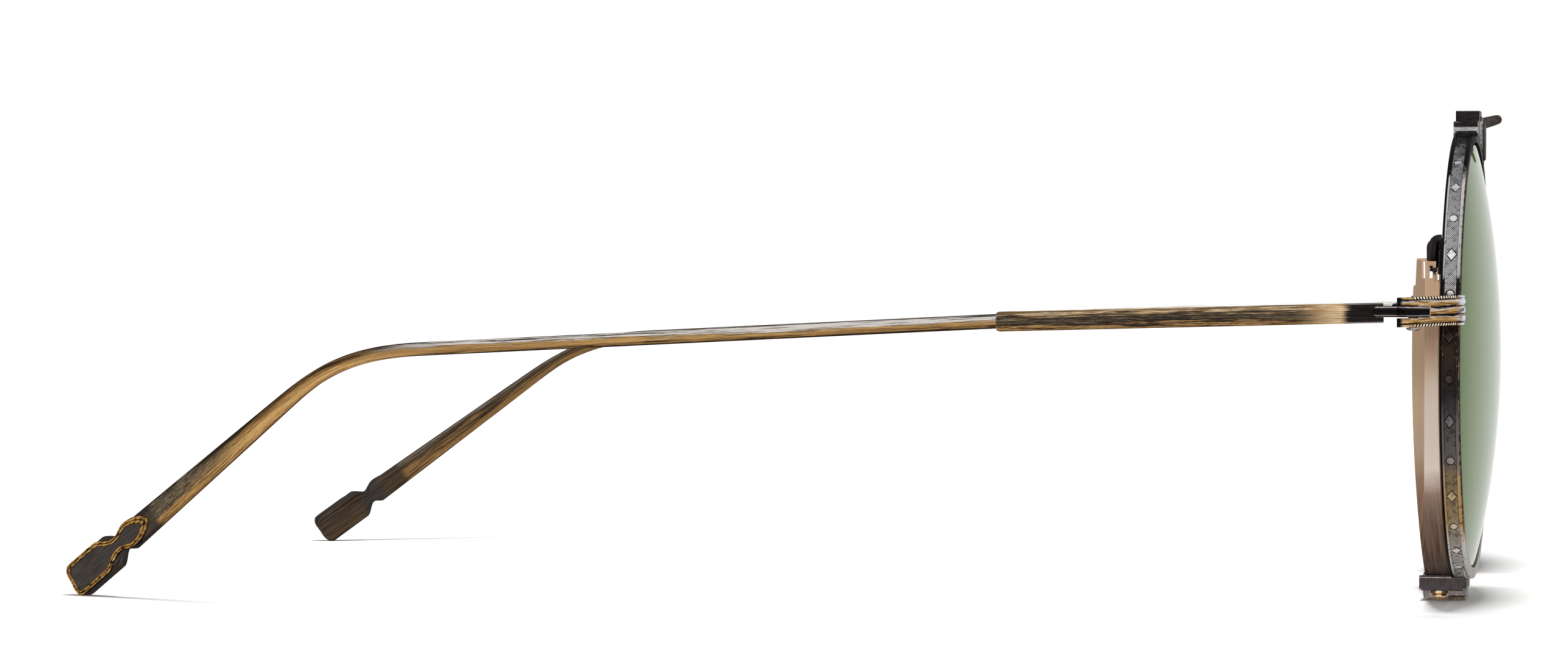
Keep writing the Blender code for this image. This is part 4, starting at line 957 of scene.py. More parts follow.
def make_lens(context, side):
    """A meniscus of two spheres about one centre: at radius r each lies at centre - sqrt(R^2 - r^2)."""
    sizes, rim = context.scene.sunglasses_lenses, context.scene.sunglasses_rims
    body = RIM_RADIUS - rim.wall - sizes.play
    edge = body + GROOVE_DEPTH
    centre = -rim.depth / 2 + LENS_SET_BACK + math.sqrt(sizes.front_radius ** 2 - body ** 2)
    radii = body * np.linspace(0, 1, LENS_RINGS)
    spheres = (sizes.front_radius, sizes.front_radius - sizes.thickness)
    front, rear = (stacked(radii, centre - np.sqrt(radius ** 2 - radii ** 2)) for radius in spheres)
    land = np.array([[edge, -sizes.bevel / 2], [edge, sizes.bevel / 2]])
    points, faces, _ = welded(*revolved(np.vstack([front, land, rear[::-1]]), LENS_STEPS, False))
    piece = add_piece("lens_glass_" + side, "front", "lens", from_eye(points, side), faces,
                      values={"reach": np.hypot(points[:, 0], points[:, 2]) / body})
    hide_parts("lens_" + side)


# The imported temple's own sizes: where it starts, its angles, and its widths and thicknesses by place from the end
TEMPLE_START, TEMPLE_SINK = 0.0030, 0.0001
SPLAY, TURN_IN = math.radians(3.5), math.radians(24.5)
WIDE_DROP, SHAFT_DROP, TIP_DROP = math.radians(1.6), math.radians(3.0), math.radians(35.4)
TIP_TAPER_END, TIP_MIDDLE_AT, TIP_SHOULDER_AT, NECK_AT, END_LENGTH = 0.0385, 0.0298, 0.0089, 0.0078, 0.0060
TIP_MIDDLE_WIDTH, TIP_SHOULDER_WIDTH, NECK_WIDTH, END_WIDTH = 0.0019, 0.00285, 0.00175, 0.0038
TIP_THICKNESS, NECK_THICKNESS, END_THICKNESS, END_EDGE_THICKNESS = 0.0015, 0.00115, 0.0020, 0.0012
END_CORNER, SHOULDER_RADIUS, TIP_SPAN = 0.00085, 0.0005, 0.0105
LEAF_HALF_HEIGHT, LEAF_LENGTH, LEAF_ROUNDING, NOTCH_PLAY = 0.00055, 0.0041, 0.00006, 0.00001
# The sections' n and points, the part of the surface map that goes round them, the points of the temple's line, and
# the steps in which the place nearest to a point is found on it
SQUARENESS, SECTION_POINTS, GIRTH, LINE_POINTS, SEARCH_STEPS = 4.5, 48, 0.006, 3000, 4


def heading(plan, slope):
    """The direction of a line that runs back, turned outwards by the plan angle and down by the slope."""
    return stacked(np.sin(plan) * np.cos(slope), np.cos(plan) * np.cos(slope), -np.sin(slope))


def temple_line(sizes, total):
    """Fine points along the temple's middle, by adding up short steps, and its angles there.

    The plan angle and the slope go as a smooth step through the ear bend.
    """
    run = np.linspace(0, total, LINE_POINTS)
    through = smooth_step((run - sizes.bend_at) / sizes.bend_length + 0.5)
    plan = SPLAY - (TURN_IN + SPLAY) * through
    before = np.where(run < sizes.wide_length, WIDE_DROP, SHAFT_DROP)
    slope = before + (TIP_DROP - before) * through
    way = heading(plan, slope)
    steps = (way[1:] + way[:-1]) / 2 * (run[1] - run[0])
    start = np.array([[0, TEMPLE_START, -TEMPLE_SINK]])
    return run, np.vstack([start, np.cumsum(steps, 0) + start]), plan, slope


def temple_total(sizes):
    """The length at which the lower round corner of the tip just touches the floor."""
    trial = sizes.bend_at + TIP_TAPER_END
    end_height = HINGE_UP + temple_line(sizes, trial)[1][-1, 2]
    corner = END_WIDTH / 2 - END_CORNER
    wanted = END_CORNER + corner * math.cos(TIP_DROP) - END_CORNER * math.sin(TIP_DROP)
    return trial + (end_height - wanted) / math.sin(TIP_DROP)


def temple_place(sizes, total, run):
    """At each run: the middle point, the outward, the upward and the forward direction."""
    line, middles, plan, slope = temple_line(sizes, total)
    middle = stacked(*(np.interp(run, line, middles[:, i]) for i in range(3)))
    turn, drop = np.interp(run, line, plan), np.interp(run, line, slope)
    outward, way = stacked(np.cos(turn), -np.sin(turn), 0.0), heading(turn, drop)
    return middle, outward, np.cross(outward, way), way


def temple_section(sizes, total, run):
    """Height and thickness along the run: wide front, shoulder, slender shaft, then the bottle tip."""
    past = total - run
    rise = np.clip((run - sizes.wide_length) / SHOULDER_RADIUS + 1, 0, 1)
    shoulder = sizes.wide_height - (sizes.wide_height - sizes.shaft_height) * (1 - np.sqrt(1 - rise ** 2))
    taper = np.interp(past, [TIP_SHOULDER_AT, TIP_MIDDLE_AT, TIP_TAPER_END],
                      [TIP_SHOULDER_WIDTH, TIP_MIDDLE_WIDTH, sizes.shaft_height])
    into = smooth_step((past - NECK_AT) / (TIP_SHOULDER_AT - NECK_AT))
    neck = NECK_WIDTH + (TIP_SHOULDER_WIDTH - NECK_WIDTH) * into
    out = smooth_step((NECK_AT - past) / (NECK_AT - END_LENGTH))
    flare = NECK_WIDTH + (END_WIDTH - NECK_WIDTH) * out
    corner = np.clip(END_CORNER - past, 0, END_CORNER)
    end = END_WIDTH - 2 * (END_CORNER - np.sqrt(END_CORNER ** 2 - corner ** 2))
    height = np.select([past <= END_LENGTH, past <= NECK_AT, past <= TIP_SHOULDER_AT, run < sizes.wide_length],
                       [end, flare, neck, shoulder], taper)
    marks = [0, sizes.wide_length - SHOULDER_RADIUS, sizes.wide_length, total - TIP_MIDDLE_AT,
             total - TIP_SHOULDER_AT, total - NECK_AT, total - END_LENGTH, total - END_CORNER, total]
    thickness = np.interp(run, marks, [
        sizes.wide_thickness, sizes.wide_thickness, sizes.shaft_thickness, sizes.shaft_thickness,
        TIP_THICKNESS, NECK_THICKNESS, END_THICKNESS, END_THICKNESS, END_EDGE_THICKNESS,
    ])
    return height, thickness


def make_temple(context, side):
    """Rounded oblong sections, |x|^n + |z|^n = 1, along the temple's line, with a notch for the leaf."""
    sizes = context.scene.sunglasses_temples
    total = temple_total(sizes)
    # Even stations, and closer ones at the shoulder, the bend, the bottle tip and the end's round corners
    run = np.unique(np.concatenate([
        np.linspace(0, total, 240), sizes.wide_length - SHOULDER_RADIUS * np.linspace(1, 0, 9),
        np.linspace(sizes.bend_at - sizes.bend_length / 2, sizes.bend_at + sizes.bend_length / 2, 60),
        total - np.linspace(0, TIP_SPAN, 60), total - END_CORNER * (1 - np.cos(np.linspace(0, math.pi / 2, 10))),
    ]))
    middle, outward, upward, way = temple_place(sizes, total, run)
    height, thickness = temple_section(sizes, total, run)
    turn = (np.arange(SECTION_POINTS) + 0.5) * 2 * math.pi / SECTION_POINTS
    across = np.sign(np.cos(turn)) * np.abs(np.cos(turn)) ** (2 / SQUARENESS)
    up = np.sign(np.sin(turn)) * np.abs(np.sin(turn)) ** (2 / SQUARENESS)
    rings = (middle[:, None] + across[None, :, None] * thickness[:, None, None] / 2 * outward[:, None]
             + up[None, :, None] * height[:, None, None] / 2 * upward[:, None])
    half = LEAF_HALF_HEIGHT + NOTCH_PLAY
    end = LEAF_LENGTH + NOTCH_PLAY - half
    arc = np.linspace(0, math.pi, 25)
    back = np.concatenate([[-LEAF_LENGTH], end + half * np.sin(arc), [-LEAF_LENGTH]])
    rise = np.concatenate([[half], half * np.cos(arc), [-half]])
    notch = lofted(drawn(back, rise, 0, THICKNESS_REACH))
    points, faces = carved(*lofted(rings), [notch])
    nearest = np.clip(np.interp(points[:, 1], middle[:, 1], run), 0, total)
    for _ in range(SEARCH_STEPS):
        at, out_way, up_way, way = temple_place(sizes, total, nearest)
        nearest = np.clip(nearest + dots(points - at, way), 0, total)
    at, out_way, up_way, way = temple_place(sizes, total, nearest)
    tall, thick = temple_section(sizes, total, nearest)
    rise, out = dots(points - at, up_way), dots(points - at, out_way)
    girth = np.arctan2(rise / tall, out / thick) / (2 * math.pi) * GIRTH
    surface = stacked(nearest, girth + GIRTH_SHIFT)
    values = {"run": nearest, "past": total - nearest, "height": rise / tall * 2, "side": out / thick * 2}
    piece = add_piece("temple_shaft_" + side, side + "_temple", "temple",
                      from_hinge(points, side), faces, surface, (None, GIRTH), values)
    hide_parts("temple_" + side)


# Distance from the tip's end and half height, in millimetres: outside and inside of the tip's border
BORDER_OUTSIDE = [
    (0.02, 0.0), (0.02, 1.0), (0.27, 1.60), (0.85, 1.86), (3.0, 1.86), (4.9, 1.84), (5.6, 1.62), (6.2, 1.25),
    (7.0, 0.92), (7.8, 0.86), (8.4, 1.12), (9.0, 1.38), (9.7, 1.42), (10.6, 1.28), (11.5, 0.92), (12.15, 0.42),
    (12.4, 0.0),
]
BORDER_INSIDE = [
    (0.5, 0.0), (0.5, 0.9), (0.66, 1.22), (1.0, 1.37), (3.0, 1.39), (4.75, 1.36), (5.35, 1.16), (5.95, 0.78),
    (6.7, 0.46), (7.6, 0.36), (8.4, 0.60), (9.0, 0.84), (9.5, 0.88), (10.1, 0.74), (10.8, 0.40), (11.2, 0.14),
    (11.35, 0.0),
]


def closed_curve(half_outline, steps):
    """A smooth closed curve through the outline and its mirror image, as a Catmull-Rom spline."""
    upper = np.array(half_outline)
    control = np.vstack([upper, upper[-2:0:-1] * [1, -1]])
    at = np.linspace(0, len(control), steps, endpoint=False)
    i = np.floor(at).astype(int)
    t = (at - i)[:, None]
    p0, p1, p2, p3 = (control[(i + k) % len(control)] for k in (-1, 0, 1, 2))
    return 0.5 * (2 * p1 + (p2 - p0) * t + (2 * p0 - 5 * p1 + 4 * p2 - p3) * t ** 2
                  + (3 * p1 - p0 - 3 * p2 + p3) * t ** 3)


# The tip's border: points round it, rows across it, the depth of its skirt, how far its ridges start below the face
# as a share of their height, and the exponent that makes them full. The face's height by distance from the end.
BORDER_POINTS, RIDGE_ROWS, SKIRT_DEPTH, RIDGE_START, RIDGE_POWER = 384, 17, 0.0006, 0.15, 0.6
FACE_AT, FACE_HEIGHT = [0, 0.006, 0.0124], [0.00101, 0.00100, 0.00076]


def make_plaque(context, side):
    """The tip's raised outline: two ridges across the border, by |sin 2 pi w|, round a flat panel."""
    sizes = context.scene.sunglasses_temples
    total = temple_total(sizes)
    outside, inside = (closed_curve(outline, BORDER_POINTS) / 1000 for outline in (BORDER_OUTSIDE, BORDER_INSIDE))
    # Each row: its points, its lift above the face, how far it stands for a ridge, and whether it is panel
    rows = [(outside * [1.0, 0.0], -SKIRT_DEPTH, 0, 0), (outside, -SKIRT_DEPTH, 0, 0)]
    for share in np.linspace(0, 1, RIDGE_ROWS):
        wave = abs(math.sin(2 * math.pi * share)) ** RIDGE_POWER
        rows.append((outside * (1 - share) + inside * share, sizes.border * (wave - RIDGE_START), wave, 0))
    rows += [(inside * [1.0, 1 - share], 0.0, 1, 1) for share in (0.04, 0.3, 0.65, 1.0)]
    flat, lift, ridge, panel = (np.array(column) for column in zip(*rows))
    past, rise = flat[..., 0], flat[..., 1]
    face = np.interp(past, FACE_AT, FACE_HEIGHT)
    middle, outward, upward, _ = temple_place(sizes, total, total - past)
    points = middle + outward * (face + lift[:, None])[..., None] + upward * rise[..., None]
    points, faces, kept = welded(points.reshape(-1, 3), grid_faces(len(rows), BORDER_POINTS, False, True))
    surface = stacked(past, rise + RISE_SHIFT).reshape(-1, 2)[kept]
    values = {"ridge": np.repeat(ridge, BORDER_POINTS)[kept], "panel": np.repeat(panel, BORDER_POINTS)[kept]}
    piece = add_piece("tip_plaque_" + side, side + "_temple", "plaque",
                      from_hinge(points, side), faces, surface, None, values, 50)


ENDPIECE_HEIGHT, ENDPIECE_THICKNESS, ENDPIECE_CORNER = 0.0030, 0.0024, 0.0030
# The middle of the front run, in the hinge's frame
ENDPIECE_FRONT = 0.00123 - 0.00523
ENDPIECE_TILT = math.tan(math.radians(2.5))
FORK_DEPTH, FORK_ROUND, FORK_TIP, FORK_SLOT, PIN_HOLE = 0.00175, 0.00165, 0.0002, 0.0013, 0.0005
# How far the rails and the inner edges lie back, and how wide the step to a rail is
RAIL_INSET, INNER_INSET, RAIL_STEP = 0.00008, 0.00012, 0.00004
FLUTE_POINTS, DISC_POINTS, PIN_POINTS = 15, 192, 36
# Where the finish changes, in the hinge's frame: the ends of the dark rails, the start of the burnt fork, and the
# silvery nose's edge outwards and its edge behind the frontmost point. OVER is the length of a soft edge.
RAILS_FRONT, RAILS_REAR, RAIL_PHASE = -0.0044, -0.0001, 0.42
BURNT_AT, BURNT_OVER = 0.0010, 0.0003
NOSE_OUT, NOSE_OUT_OVER, NOSE_BACK, NOSE_BACK_OVER = -0.0030, 0.0006, 0.0011, 0.0009
# A bead's ball: its sides and rows, its half length as a share of the bead's, its half height as a share of the
# rail's, its reach outwards and its lean. The rows run from a station of the path to a place by the hinge's axis.
BEAD_SIDES, BEAD_ROWS, BEAD_ALONG, BEAD_UP, BEAD_DEPTH, BEAD_LEAN = 10, 7, 0.46, 0.62, 0.00013, 0.45
BEAD_START, BEAD_END = 26, -0.0002


def endpiece_path():
    """Plan stations in the hinge's frame: out, back, direction across and half thickness.

    The path leaves the rim outwards, turns a quarter circle and ends in a half circle about the axis.
    """
    thin, thick = ENDPIECE_THICKNESS / 2, FORK_ROUND
    start = EYE[0] + RIM_RADIUS - RIM_WALL - HINGE_OUT
    first = [(x, ENDPIECE_FRONT, 0.0, thin) for x in np.linspace(start, -ENDPIECE_CORNER, 14)]
    bend = [
        (-ENDPIECE_CORNER * (1 - math.sin(a)), ENDPIECE_FRONT + ENDPIECE_CORNER * (1 - math.cos(a)), a,
         thin + (thick - thin) * a * 2 / math.pi) for a in np.linspace(0, math.pi / 2, 28)[1:]
    ]
    run = [(0.0, y, math.pi / 2, thick) for y in np.linspace(ENDPIECE_FRONT + ENDPIECE_CORNER, 0, 6)[1:]]
    end = [(0.0, FORK_ROUND * math.sin(a), math.pi / 2, max(FORK_ROUND * math.cos(a), FORK_TIP))
           for a in np.linspace(0, math.pi / 2, 18)[1:]]
    return np.array(first + bend + run + end)


def make_endpiece(context, side):
    """Three half-round flutes between two bead rails, swept round the corner, forked and drilled."""
    trim = context.scene.sunglasses_trim
    flute = (ENDPIECE_HEIGHT - 2 * trim.bead_rail) / 3
    across = np.cos(np.linspace(math.pi, 0, FLUTE_POINTS))
    heights, depths = [0.0, trim.bead_rail - RAIL_STEP], [RAIL_INSET, RAIL_INSET]
    for i in range(3):
        heights += (trim.bead_rail + flute * (i + (across + 1) / 2)).tolist()
        depths += (trim.flute_depth * (1 - np.sqrt(1 - across ** 2))).tolist()
    heights += [ENDPIECE_HEIGHT - trim.bead_rail + RAIL_STEP, ENDPIECE_HEIGHT]
    depths += [RAIL_INSET, RAIL_INSET]
    heights, depths = np.array(heights), np.array(depths)
    path = endpiece_path()
    out, back, turn, half = path.T
    way_out, way_back = np.sin(turn), -np.cos(turn)
    reach = half[:, None] - np.minimum(depths[None, :], half[:, None] / 2)
    outer = stacked(out[:, None] + way_out[:, None] * reach, back[:, None] + way_back[:, None] * reach, heights)
    inner = stacked((out - way_out * half)[:, None], (back - way_back * half)[:, None],
                    [ENDPIECE_HEIGHT - INNER_INSET, INNER_INSET])
    rings = np.concatenate([outer, inner], 1)
    rings[..., 2] += -ENDPIECE_HEIGHT / 2 - rings[..., 1] * ENDPIECE_TILT
    eye_turn = np.linspace(0, 2 * math.pi, DISC_POINTS, endpoint=False)
    radius = RIM_RADIUS + GAP
    disc = from_eye(drawn(radius * np.sin(eye_turn), -radius * np.cos(eye_turn), 1, RIM_REACH), "left") - HINGE
    pin = np.linspace(0, 2 * math.pi, PIN_POINTS, endpoint=False)
    hole = drawn(PIN_HOLE * np.cos(pin), PIN_HOLE * np.sin(pin), 2, HEIGHT_REACH)
    slot = box_surface((-THICKNESS_REACH, -FORK_DEPTH, -FORK_SLOT / 2),
                       (THICKNESS_REACH, THICKNESS_REACH, FORK_SLOT / 2))
    points, faces = carved(*lofted(rings), [lofted(disc), slot, lofted(hole)])
    centres = path[:, :2]
    nearest = np.argmin(np.linalg.norm(points[:, None, :2] - centres[None], axis=2), 1)
    offset = points[:, :2] - centres[nearest]
    along = distances(centres)[nearest] + dots(offset, stacked(np.cos(turn), np.sin(turn))[nearest])
    level = points[:, 2] + ENDPIECE_HEIGHT / 2 + points[:, 1] * ENDPIECE_TILT
    outward = dots(offset, stacked(way_out, way_back)[nearest])
    rail_edge = trim.bead_rail - RAIL_STEP / 2
    on_rail = (level < rail_edge) | (level > ENDPIECE_HEIGHT - rail_edge)
    phase = np.where(on_rail, RAIL_PHASE, np.mod((level - trim.bead_rail) / flute, 1.0))
    inside = (outward < 0).astype(float)
    rail = on_rail * (1 - inside) * (points[:, 1] < RAILS_REAR) * (points[:, 1] > RAILS_FRONT)
    burnt = smooth_step((points[:, 1] - BURNT_AT) / BURNT_OVER)
    nose = np.maximum(smooth_step((NOSE_OUT - points[:, 0]) / NOSE_OUT_OVER),
                      smooth_step((points[:, 1].min() + NOSE_BACK - points[:, 1]) / NOSE_BACK_OVER))
    surface = stacked(along + GIRTH_SHIFT, level)
    values = {"phase": phase, "inside": inside, "rail": rail, "burnt": burnt, "nose": nose}
    piece = add_piece("endpiece_fluted_" + side, "front", "endpiece", from_hinge(points, side), faces,
                      surface, None, values, 40)
    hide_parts("endpiece_" + side)


def make_beads(context, side):
    """Two rows of slanted beads along the endpiece's upper and lower edge, as stretched spheres."""
    trim = context.scene.sunglasses_trim
    path = endpiece_path()
    outside = path[:, :2] + stacked(np.sin(path[:, 2]), -np.cos(path[:, 2])) * (path[:, 3:4] - RAIL_INSET)
    steps = distances(outside)
    rear = np.argmin(np.abs(path[:, 1] - BEAD_END) + (path[:, 0] < 0))
    along = np.linspace(steps[BEAD_START], steps[rear], trim.beads)
    around, down = np.meshgrid(np.linspace(0, 2 * math.pi, BEAD_SIDES, endpoint=False),
                               np.linspace(0, math.pi, BEAD_ROWS), indexing="ij")
    ball = stacked(np.cos(around) * np.sin(down), np.sin(around) * np.sin(down), np.cos(down)).reshape(-1, 3)
    pattern = grid_faces(BEAD_SIDES, BEAD_ROWS, True, False)
    points, faces, ridges = [], [], []
    for row, sign in ((trim.bead_rail / 2, -1), (ENDPIECE_HEIGHT - trim.bead_rail / 2, 1)):
        for spot in along:
            centre = np.array([np.interp(spot, steps, outside[:, i]) for i in range(2)])
            turn = np.interp(spot, steps, path[:, 2])
            forward, outward = np.array([[math.cos(turn), math.sin(turn)], [math.sin(turn), -math.cos(turn)]])
            up = ball[:, 2] * trim.bead_rail
            run = ball[:, 0] * trim.bead_length * BEAD_ALONG + up / 2 * BEAD_LEAN * sign
            plan = centre + run[:, None] * forward + ball[:, 1:2] * BEAD_DEPTH * outward
            height = row - ENDPIECE_HEIGHT / 2 - plan[:, 1] * ENDPIECE_TILT + up * BEAD_UP
            bead, cells, _ = welded(np.column_stack([plan, height]), pattern)
            faces += [[corner + sum(map(len, points)) for corner in cell] for cell in cells]
            points.append(bead)
            ridges.append((bead[:, :2] - centre) @ outward / BEAD_DEPTH)
    points, values = from_hinge(np.vstack(points), side), {"ridge": np.concatenate(ridges)}
    piece = add_piece("endpiece_beads_" + side, "front", "bead", points, faces, values=values)


def make_brow_bar(context):
    """A round bar whose middle bows forward and up in a cosine wave: (1 + cos(pi x / half bow)) / 2."""
    trim = context.scene.sunglasses_trim
    low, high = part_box("brow_bar")
    radius = trim.bar_diameter / 2
    out = np.linspace(low.x, high.x, BAR_STATIONS)
    lift = (1 + np.cos(np.minimum(np.abs(out) / (trim.bar_bow_length / 2), 1) * math.pi)) / 2
    path = stacked(out, high.y - radius - trim.bar_bow * lift, low.z + radius + trim.bar_rise * lift)
    points, faces = lofted(swept(path, radius, BAR_SIDES))
    piece = add_piece("brow_bar_round", "front", "bar", points, faces)
    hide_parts("brow_bar")


def eye_frame(points, side):
    """World points or directions, less the eye's centre for points, as (out, back, up) in the eye's frame."""
    local = points * [SIDES[side], 1, 1]
    out = local[:, 0] * math.cos(WRAP) + local[:, 1] * math.sin(WRAP)
    back = local[:, 1] * math.cos(WRAP) - local[:, 0] * math.sin(WRAP)
    return stacked(out, back, local[:, 2])


# An edge face is lower than this, and the cosines between its normal and the eye's directions are under this
NARROW, FACING = 0.00016, 0.96


def make_merged(node, body, name, finish, edge=None, sharp=35, values=None):
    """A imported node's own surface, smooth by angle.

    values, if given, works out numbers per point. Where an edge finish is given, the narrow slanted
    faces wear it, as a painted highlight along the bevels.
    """
    points, faces = frame_node(node)
    piece = add_piece(name, body, finish, points, faces, values=values and values(points), sharp=sharp)
    if edge is not None:
        a, b, c = points[faces].transpose(1, 0, 2)
        normal = np.cross(b - a, c - a)
        area = np.linalg.norm(normal, axis=1)
        longest = np.max([np.linalg.norm(d, axis=1) for d in (b - a, c - b, a - c)], 0)
        normal = eye_frame(normal / np.maximum(area, 1e-20)[:, None], node.rsplit("_", 1)[1])
        slanted = (np.max(np.abs(normal), 1) < FACING) & (area / longest < NARROW)
        piece.data.materials.append(FINISHES[edge])
        piece.data.polygons.foreach_set("material_index", slanted.astype(np.int32))
    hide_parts(node)
    return piece


def make_leaf(side):
    """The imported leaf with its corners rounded, and with its height about the hinge's middle as a value."""
    piece = make_merged("hinge_leaf_" + side, side + "_temple", "leaf_" + side, "leaf",
                        values=lambda points: {"height": (points[:, 2] - HINGE_UP) / LEAF_HALF_HEIGHT})
    rounding = piece.modifiers.new("rounded corners", "BEVEL")
    rounding.width, rounding.segments = LEAF_ROUNDING, 2
    rounding.limit_method, rounding.angle_limit = "ANGLE", math.radians(50)


def make_shield(side):
    """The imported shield, smooth by angle, with a surface map round the band and from front to rear."""
    points, faces = frame_node("shield_" + side)
    out, back, up = eye_frame(points - on_side(EYE, side), side).T
    around = np.arctan2(out, -up) * RIM_RADIUS
    piece = add_piece("shield_band_" + side, "front", "shield", points, faces,
                      stacked(around + AROUND_SHIFT, back + ACROSS_SHIFT))
    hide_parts("shield_" + side)


# The operators

FLOOR_NEAR, FLOOR_FAR, FLOOR_GLOW, FLOOR_WHITE = 0.12, 0.6, 0.75, 0.95
LAMP_SIZE, LAMP_PLACE = 0.15, (-0.03, -0.05, 0.55)
CAMERA_YAW, CAMERA_PITCH, CAMERA_ROLL = math.radians(7.675), math.radians(-0.466), math.radians(0.25)
CAMERA_PLACE = (-0.58069, HINGE_BACK - 0.0055, 0.03311)


class SUNGLASSES_OT_finishes(bpy.types.Operator):
    """Make the finishes that all pieces wear"""
    bl_idname = "sunglasses.finishes"
    bl_label = "Finishes"

    def execute(self, context):
        looks = context.scene.sunglasses_looks
        FINISHES.update(
            rim=rim_finish(looks), hatch=hatch_finish(looks, context.scene.sunglasses_rims),
            temple=temple_finish(looks), endpiece=endpiece_finish(), bead=bead_finish(),
            dark=dark_finish("blackened_metal", looks.dark_metal, 0x383333, 0.22),
            bar=dark_finish("brow_bar_gunmetal", 0x3E3937, 0x5E5854, 0.3),
            clamp=clamp_finish(), edge=edge_highlight_finish(), bracket=bracket_finish(looks), leaf=leaf_finish(),
            shield=shield_finish(looks), screw=screw_finish(), pad=pad_finish(), plaque=plaque_finish(),
            lens=lens_finish(looks),
        )
        return {"FINISHED"}


class SUNGLASSES_OT_rims(bpy.types.Operator):
    """Make both rims with their engraved bands, and dress the nose bridge"""
    bl_idname = "sunglasses.rims"
    bl_label = "Rims"

    def execute(self, context):
        for side in SIDES:
            make_rim(context, side)
            make_band(context, side)
        make_merged("bridge", "front", "nose_bridge", "bar")
        return {"FINISHED"}


class SUNGLASSES_OT_lenses(bpy.types.Operator):
    """Make both domed lenses"""
    bl_idname = "sunglasses.lenses"
    bl_label = "Lenses"

    def execute(self, context):
        for side in SIDES:
            make_lens(context, side)
        return {"FINISHED"}


class SUNGLASSES_OT_temples(bpy.types.Operator):
    """Make both temples with their tip plaques and hinge leaves"""
    bl_idname = "sunglasses.temples"
    bl_label = "Temples"

    def execute(self, context):
        for side in SIDES:
            make_temple(context, side)
            make_plaque(context, side)
            make_leaf(side)
        return {"FINISHED"}


class SUNGLASSES_OT_endpieces(bpy.types.Operator):
    """Make both fluted endpieces with their bead rows and hinge screws"""
    bl_idname = "sunglasses.endpieces"
    bl_label = "Endpieces"

    def execute(self, context):
        for side in SIDES:
            make_endpiece(context, side)
            make_beads(context, side)
            make_merged("hinge_screw_" + side, "front", "hinge_pin_" + side, "edge")
        return {"FINISHED"}


class SUNGLASSES_OT_brow(bpy.types.Operator):
    """Make the brow bar and dress the brackets and claw plates that hold it"""
    bl_idname = "sunglasses.brow"
    bl_label = "Brow bar"

    def execute(self, context):
        make_brow_bar(context)
        for side in SIDES:
            make_merged("top_bracket_" + side, "front", "brow_bracket_" + side, "bracket", "edge")
            make_merged("claw_plate_" + side, "front", "brow_claw_" + side, "bar")
        return {"FINISHED"}


class SUNGLASSES_OT_shields(bpy.types.Operator):
    """Dress the light shields with their hooks, clamps, screws and foot pads"""
    bl_idname = "sunglasses.shields"
    bl_label = "Light shields"

    def execute(self, context):
        for side in SIDES:
            make_shield(side)
            for place in ("temple", "nose"):
                make_merged(f"shield_hook_{place}_{side}", "front", f"hook_wire_{place}_{side}", "dark",
                            sharp=60)
            make_merged("bottom_bracket_" + side, "front", "shield_clamp_" + side, "clamp", "edge")
            make_merged("shield_screw_" + side, "front", "clamp_screw_" + side, "screw")
            make_merged("foot_pad_" + side, "front", "foot_rest_" + side, "pad")
        return {"FINISHED"}


class SUNGLASSES_OT_stage(bpy.types.Operator):
    """Make the floor, the even daylight, the lamp and the camera"""
    bl_idname = "sunglasses.stage"
    bl_label = "Stage"

    def execute(self, context):
        scene, stage = context.scene, context.scene.sunglasses_stage
        corners = np.array([(-0.5, -0.5, 0), (0.5, -0.5, 0), (0.5, 0.5, 0), (-0.5, 0.5, 0)]) * stage.floor_size
        mesh = bpy.data.meshes.new("floor")
        mesh.from_pydata(corners.tolist(), [], [(0, 1, 2, 3)])
        mesh.materials.append(floor_finish(stage))
        floor = add_object("floor", mesh)
        make_daylight(scene, stage)
        lamp = bpy.data.lights.new("lamp_above", "AREA")
        lamp.size, lamp.energy = LAMP_SIZE, stage.key_power
        holder = add_object("lamp_above", lamp)
        holder.location, holder.visible_glossy = LAMP_PLACE, False
        make_camera(scene, stage)
        scene.view_settings.view_transform = "Standard"
        return {"FINISHED"}


def make_daylight(scene, stage):
    """White all round: full white where it is seen, mirrored or seen through glass, and softer as light."""
    world = bpy.data.worlds.new("daylight")
    f = Nodes(world)
    seen = f.larger(f.larger(f.ray("Camera"), f.ray("Glossy")), f.ray("Transmission"))
    strength = f.node("ShaderNodeMapRange", 0, {"Value": seen, "To Min": stage.daylight})
    background = f.node("ShaderNodeBackground", 0, {"Color": (1, 1, 1, 1), "Strength": strength})
    f.close("ShaderNodeOutputWorld", background)
    scene.world = world


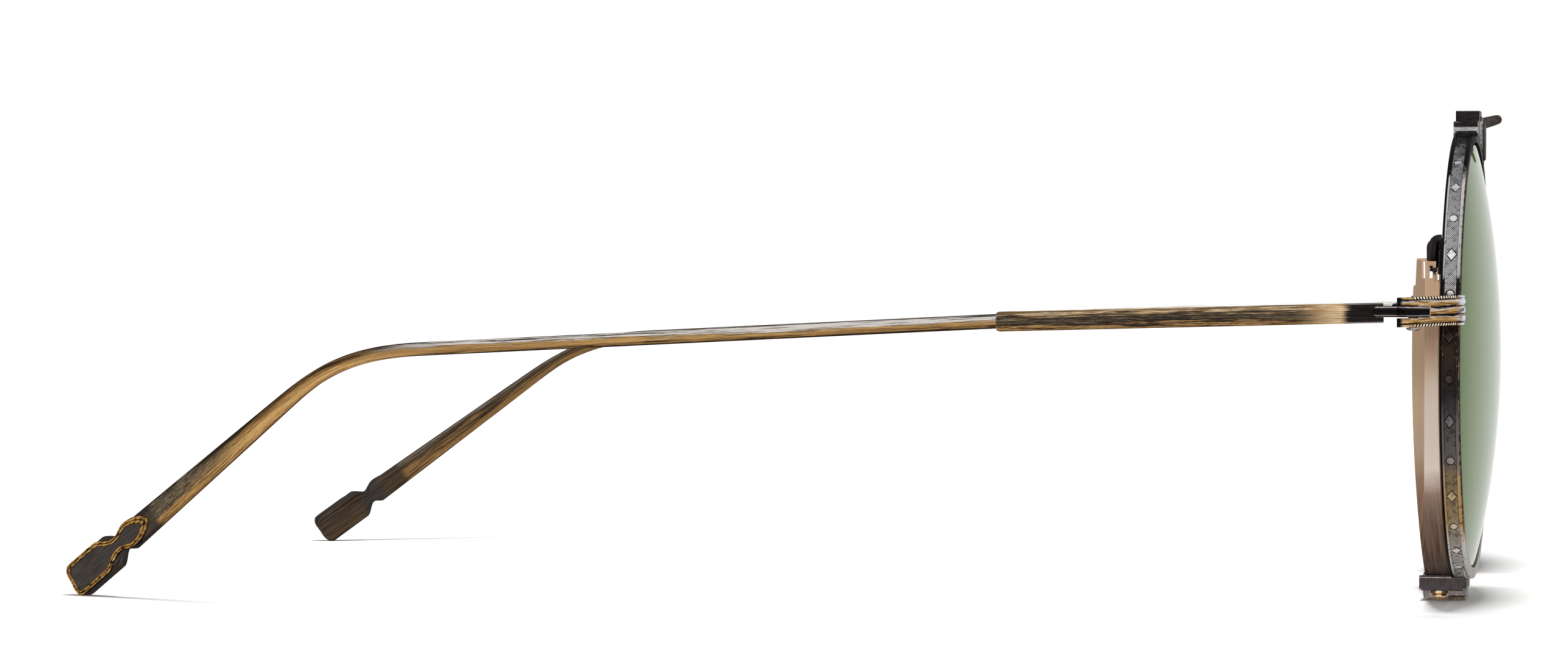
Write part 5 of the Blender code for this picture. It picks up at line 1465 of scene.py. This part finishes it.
def make_camera(scene, stage):
    """A camera at the wearer's right, a little ahead of the hinges and almost level with them."""
    yaw, pitch, roll = CAMERA_YAW, CAMERA_PITCH, CAMERA_ROLL
    forward = Vector((math.cos(yaw) * math.cos(pitch), math.sin(yaw) * math.cos(pitch), math.sin(pitch)))
    right = Vector((math.sin(yaw), -math.cos(yaw), 0.0))
    up = right.cross(forward)
    right, up = right * math.cos(roll) + up * math.sin(roll), up * math.cos(roll) - right * math.sin(roll)
    data = bpy.data.cameras.new("camera")
    data.lens, data.sensor_width, data.sensor_fit = stage.focal, 36.0, "HORIZONTAL"
    data.clip_start, data.clip_end = 0.01, 100.0
    camera = add_object("camera", data)
    turn = Matrix((right, up, -forward)).transposed().to_4x4()
    camera.matrix_world = Matrix.Translation(CAMERA_PLACE) @ turn
    scene.camera = camera


OPERATORS = (
    SUNGLASSES_OT_finishes, SUNGLASSES_OT_rims, SUNGLASSES_OT_lenses, SUNGLASSES_OT_temples,
    SUNGLASSES_OT_endpieces, SUNGLASSES_OT_brow, SUNGLASSES_OT_shields, SUNGLASSES_OT_stage,
)
GROUPS = {
    "sunglasses_rims": SunglassesRims, "sunglasses_lenses": SunglassesLenses,
    "sunglasses_temples": SunglassesTemples, "sunglasses_trim": SunglassesTrim,
    "sunglasses_looks": SunglassesLooks, "sunglasses_stage": SunglassesStage,
}


class SUNGLASSES_PT_panel(bpy.types.Panel):
    """Lists the sizes, the colours and the steps"""
    bl_idname = "SUNGLASSES_PT_panel"
    bl_label = "Round Sunglasses"
    bl_space_type = "VIEW_3D"
    bl_region_type = "UI"
    bl_category = "Sunglasses"

    def draw(self, context):
        for name, group in GROUPS.items():
            box = self.layout.box()
            for key in group.__annotations__:
                box.prop(getattr(context.scene, name), key)
        for operator in OPERATORS:
            self.layout.operator(operator.bl_idname)


def register():
    for group in GROUPS.values():
        bpy.utils.register_class(group)
    for name, group in GROUPS.items():
        setattr(bpy.types.Scene, name, PointerProperty(type=group))
    for operator in OPERATORS:
        bpy.utils.register_class(operator)
    bpy.utils.register_class(SUNGLASSES_PT_panel)


def unregister():
    bpy.utils.unregister_class(SUNGLASSES_PT_panel)
    for operator in reversed(OPERATORS):
        bpy.utils.unregister_class(operator)
    for name, group in GROUPS.items():
        delattr(bpy.types.Scene, name)
        bpy.utils.unregister_class(group)


def main():
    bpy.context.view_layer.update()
    register()
    for operator in OPERATORS:
        group, step = operator.bl_idname.split(".")
        getattr(getattr(bpy.ops, group), step)()


if __name__ == "__main__":
    main()
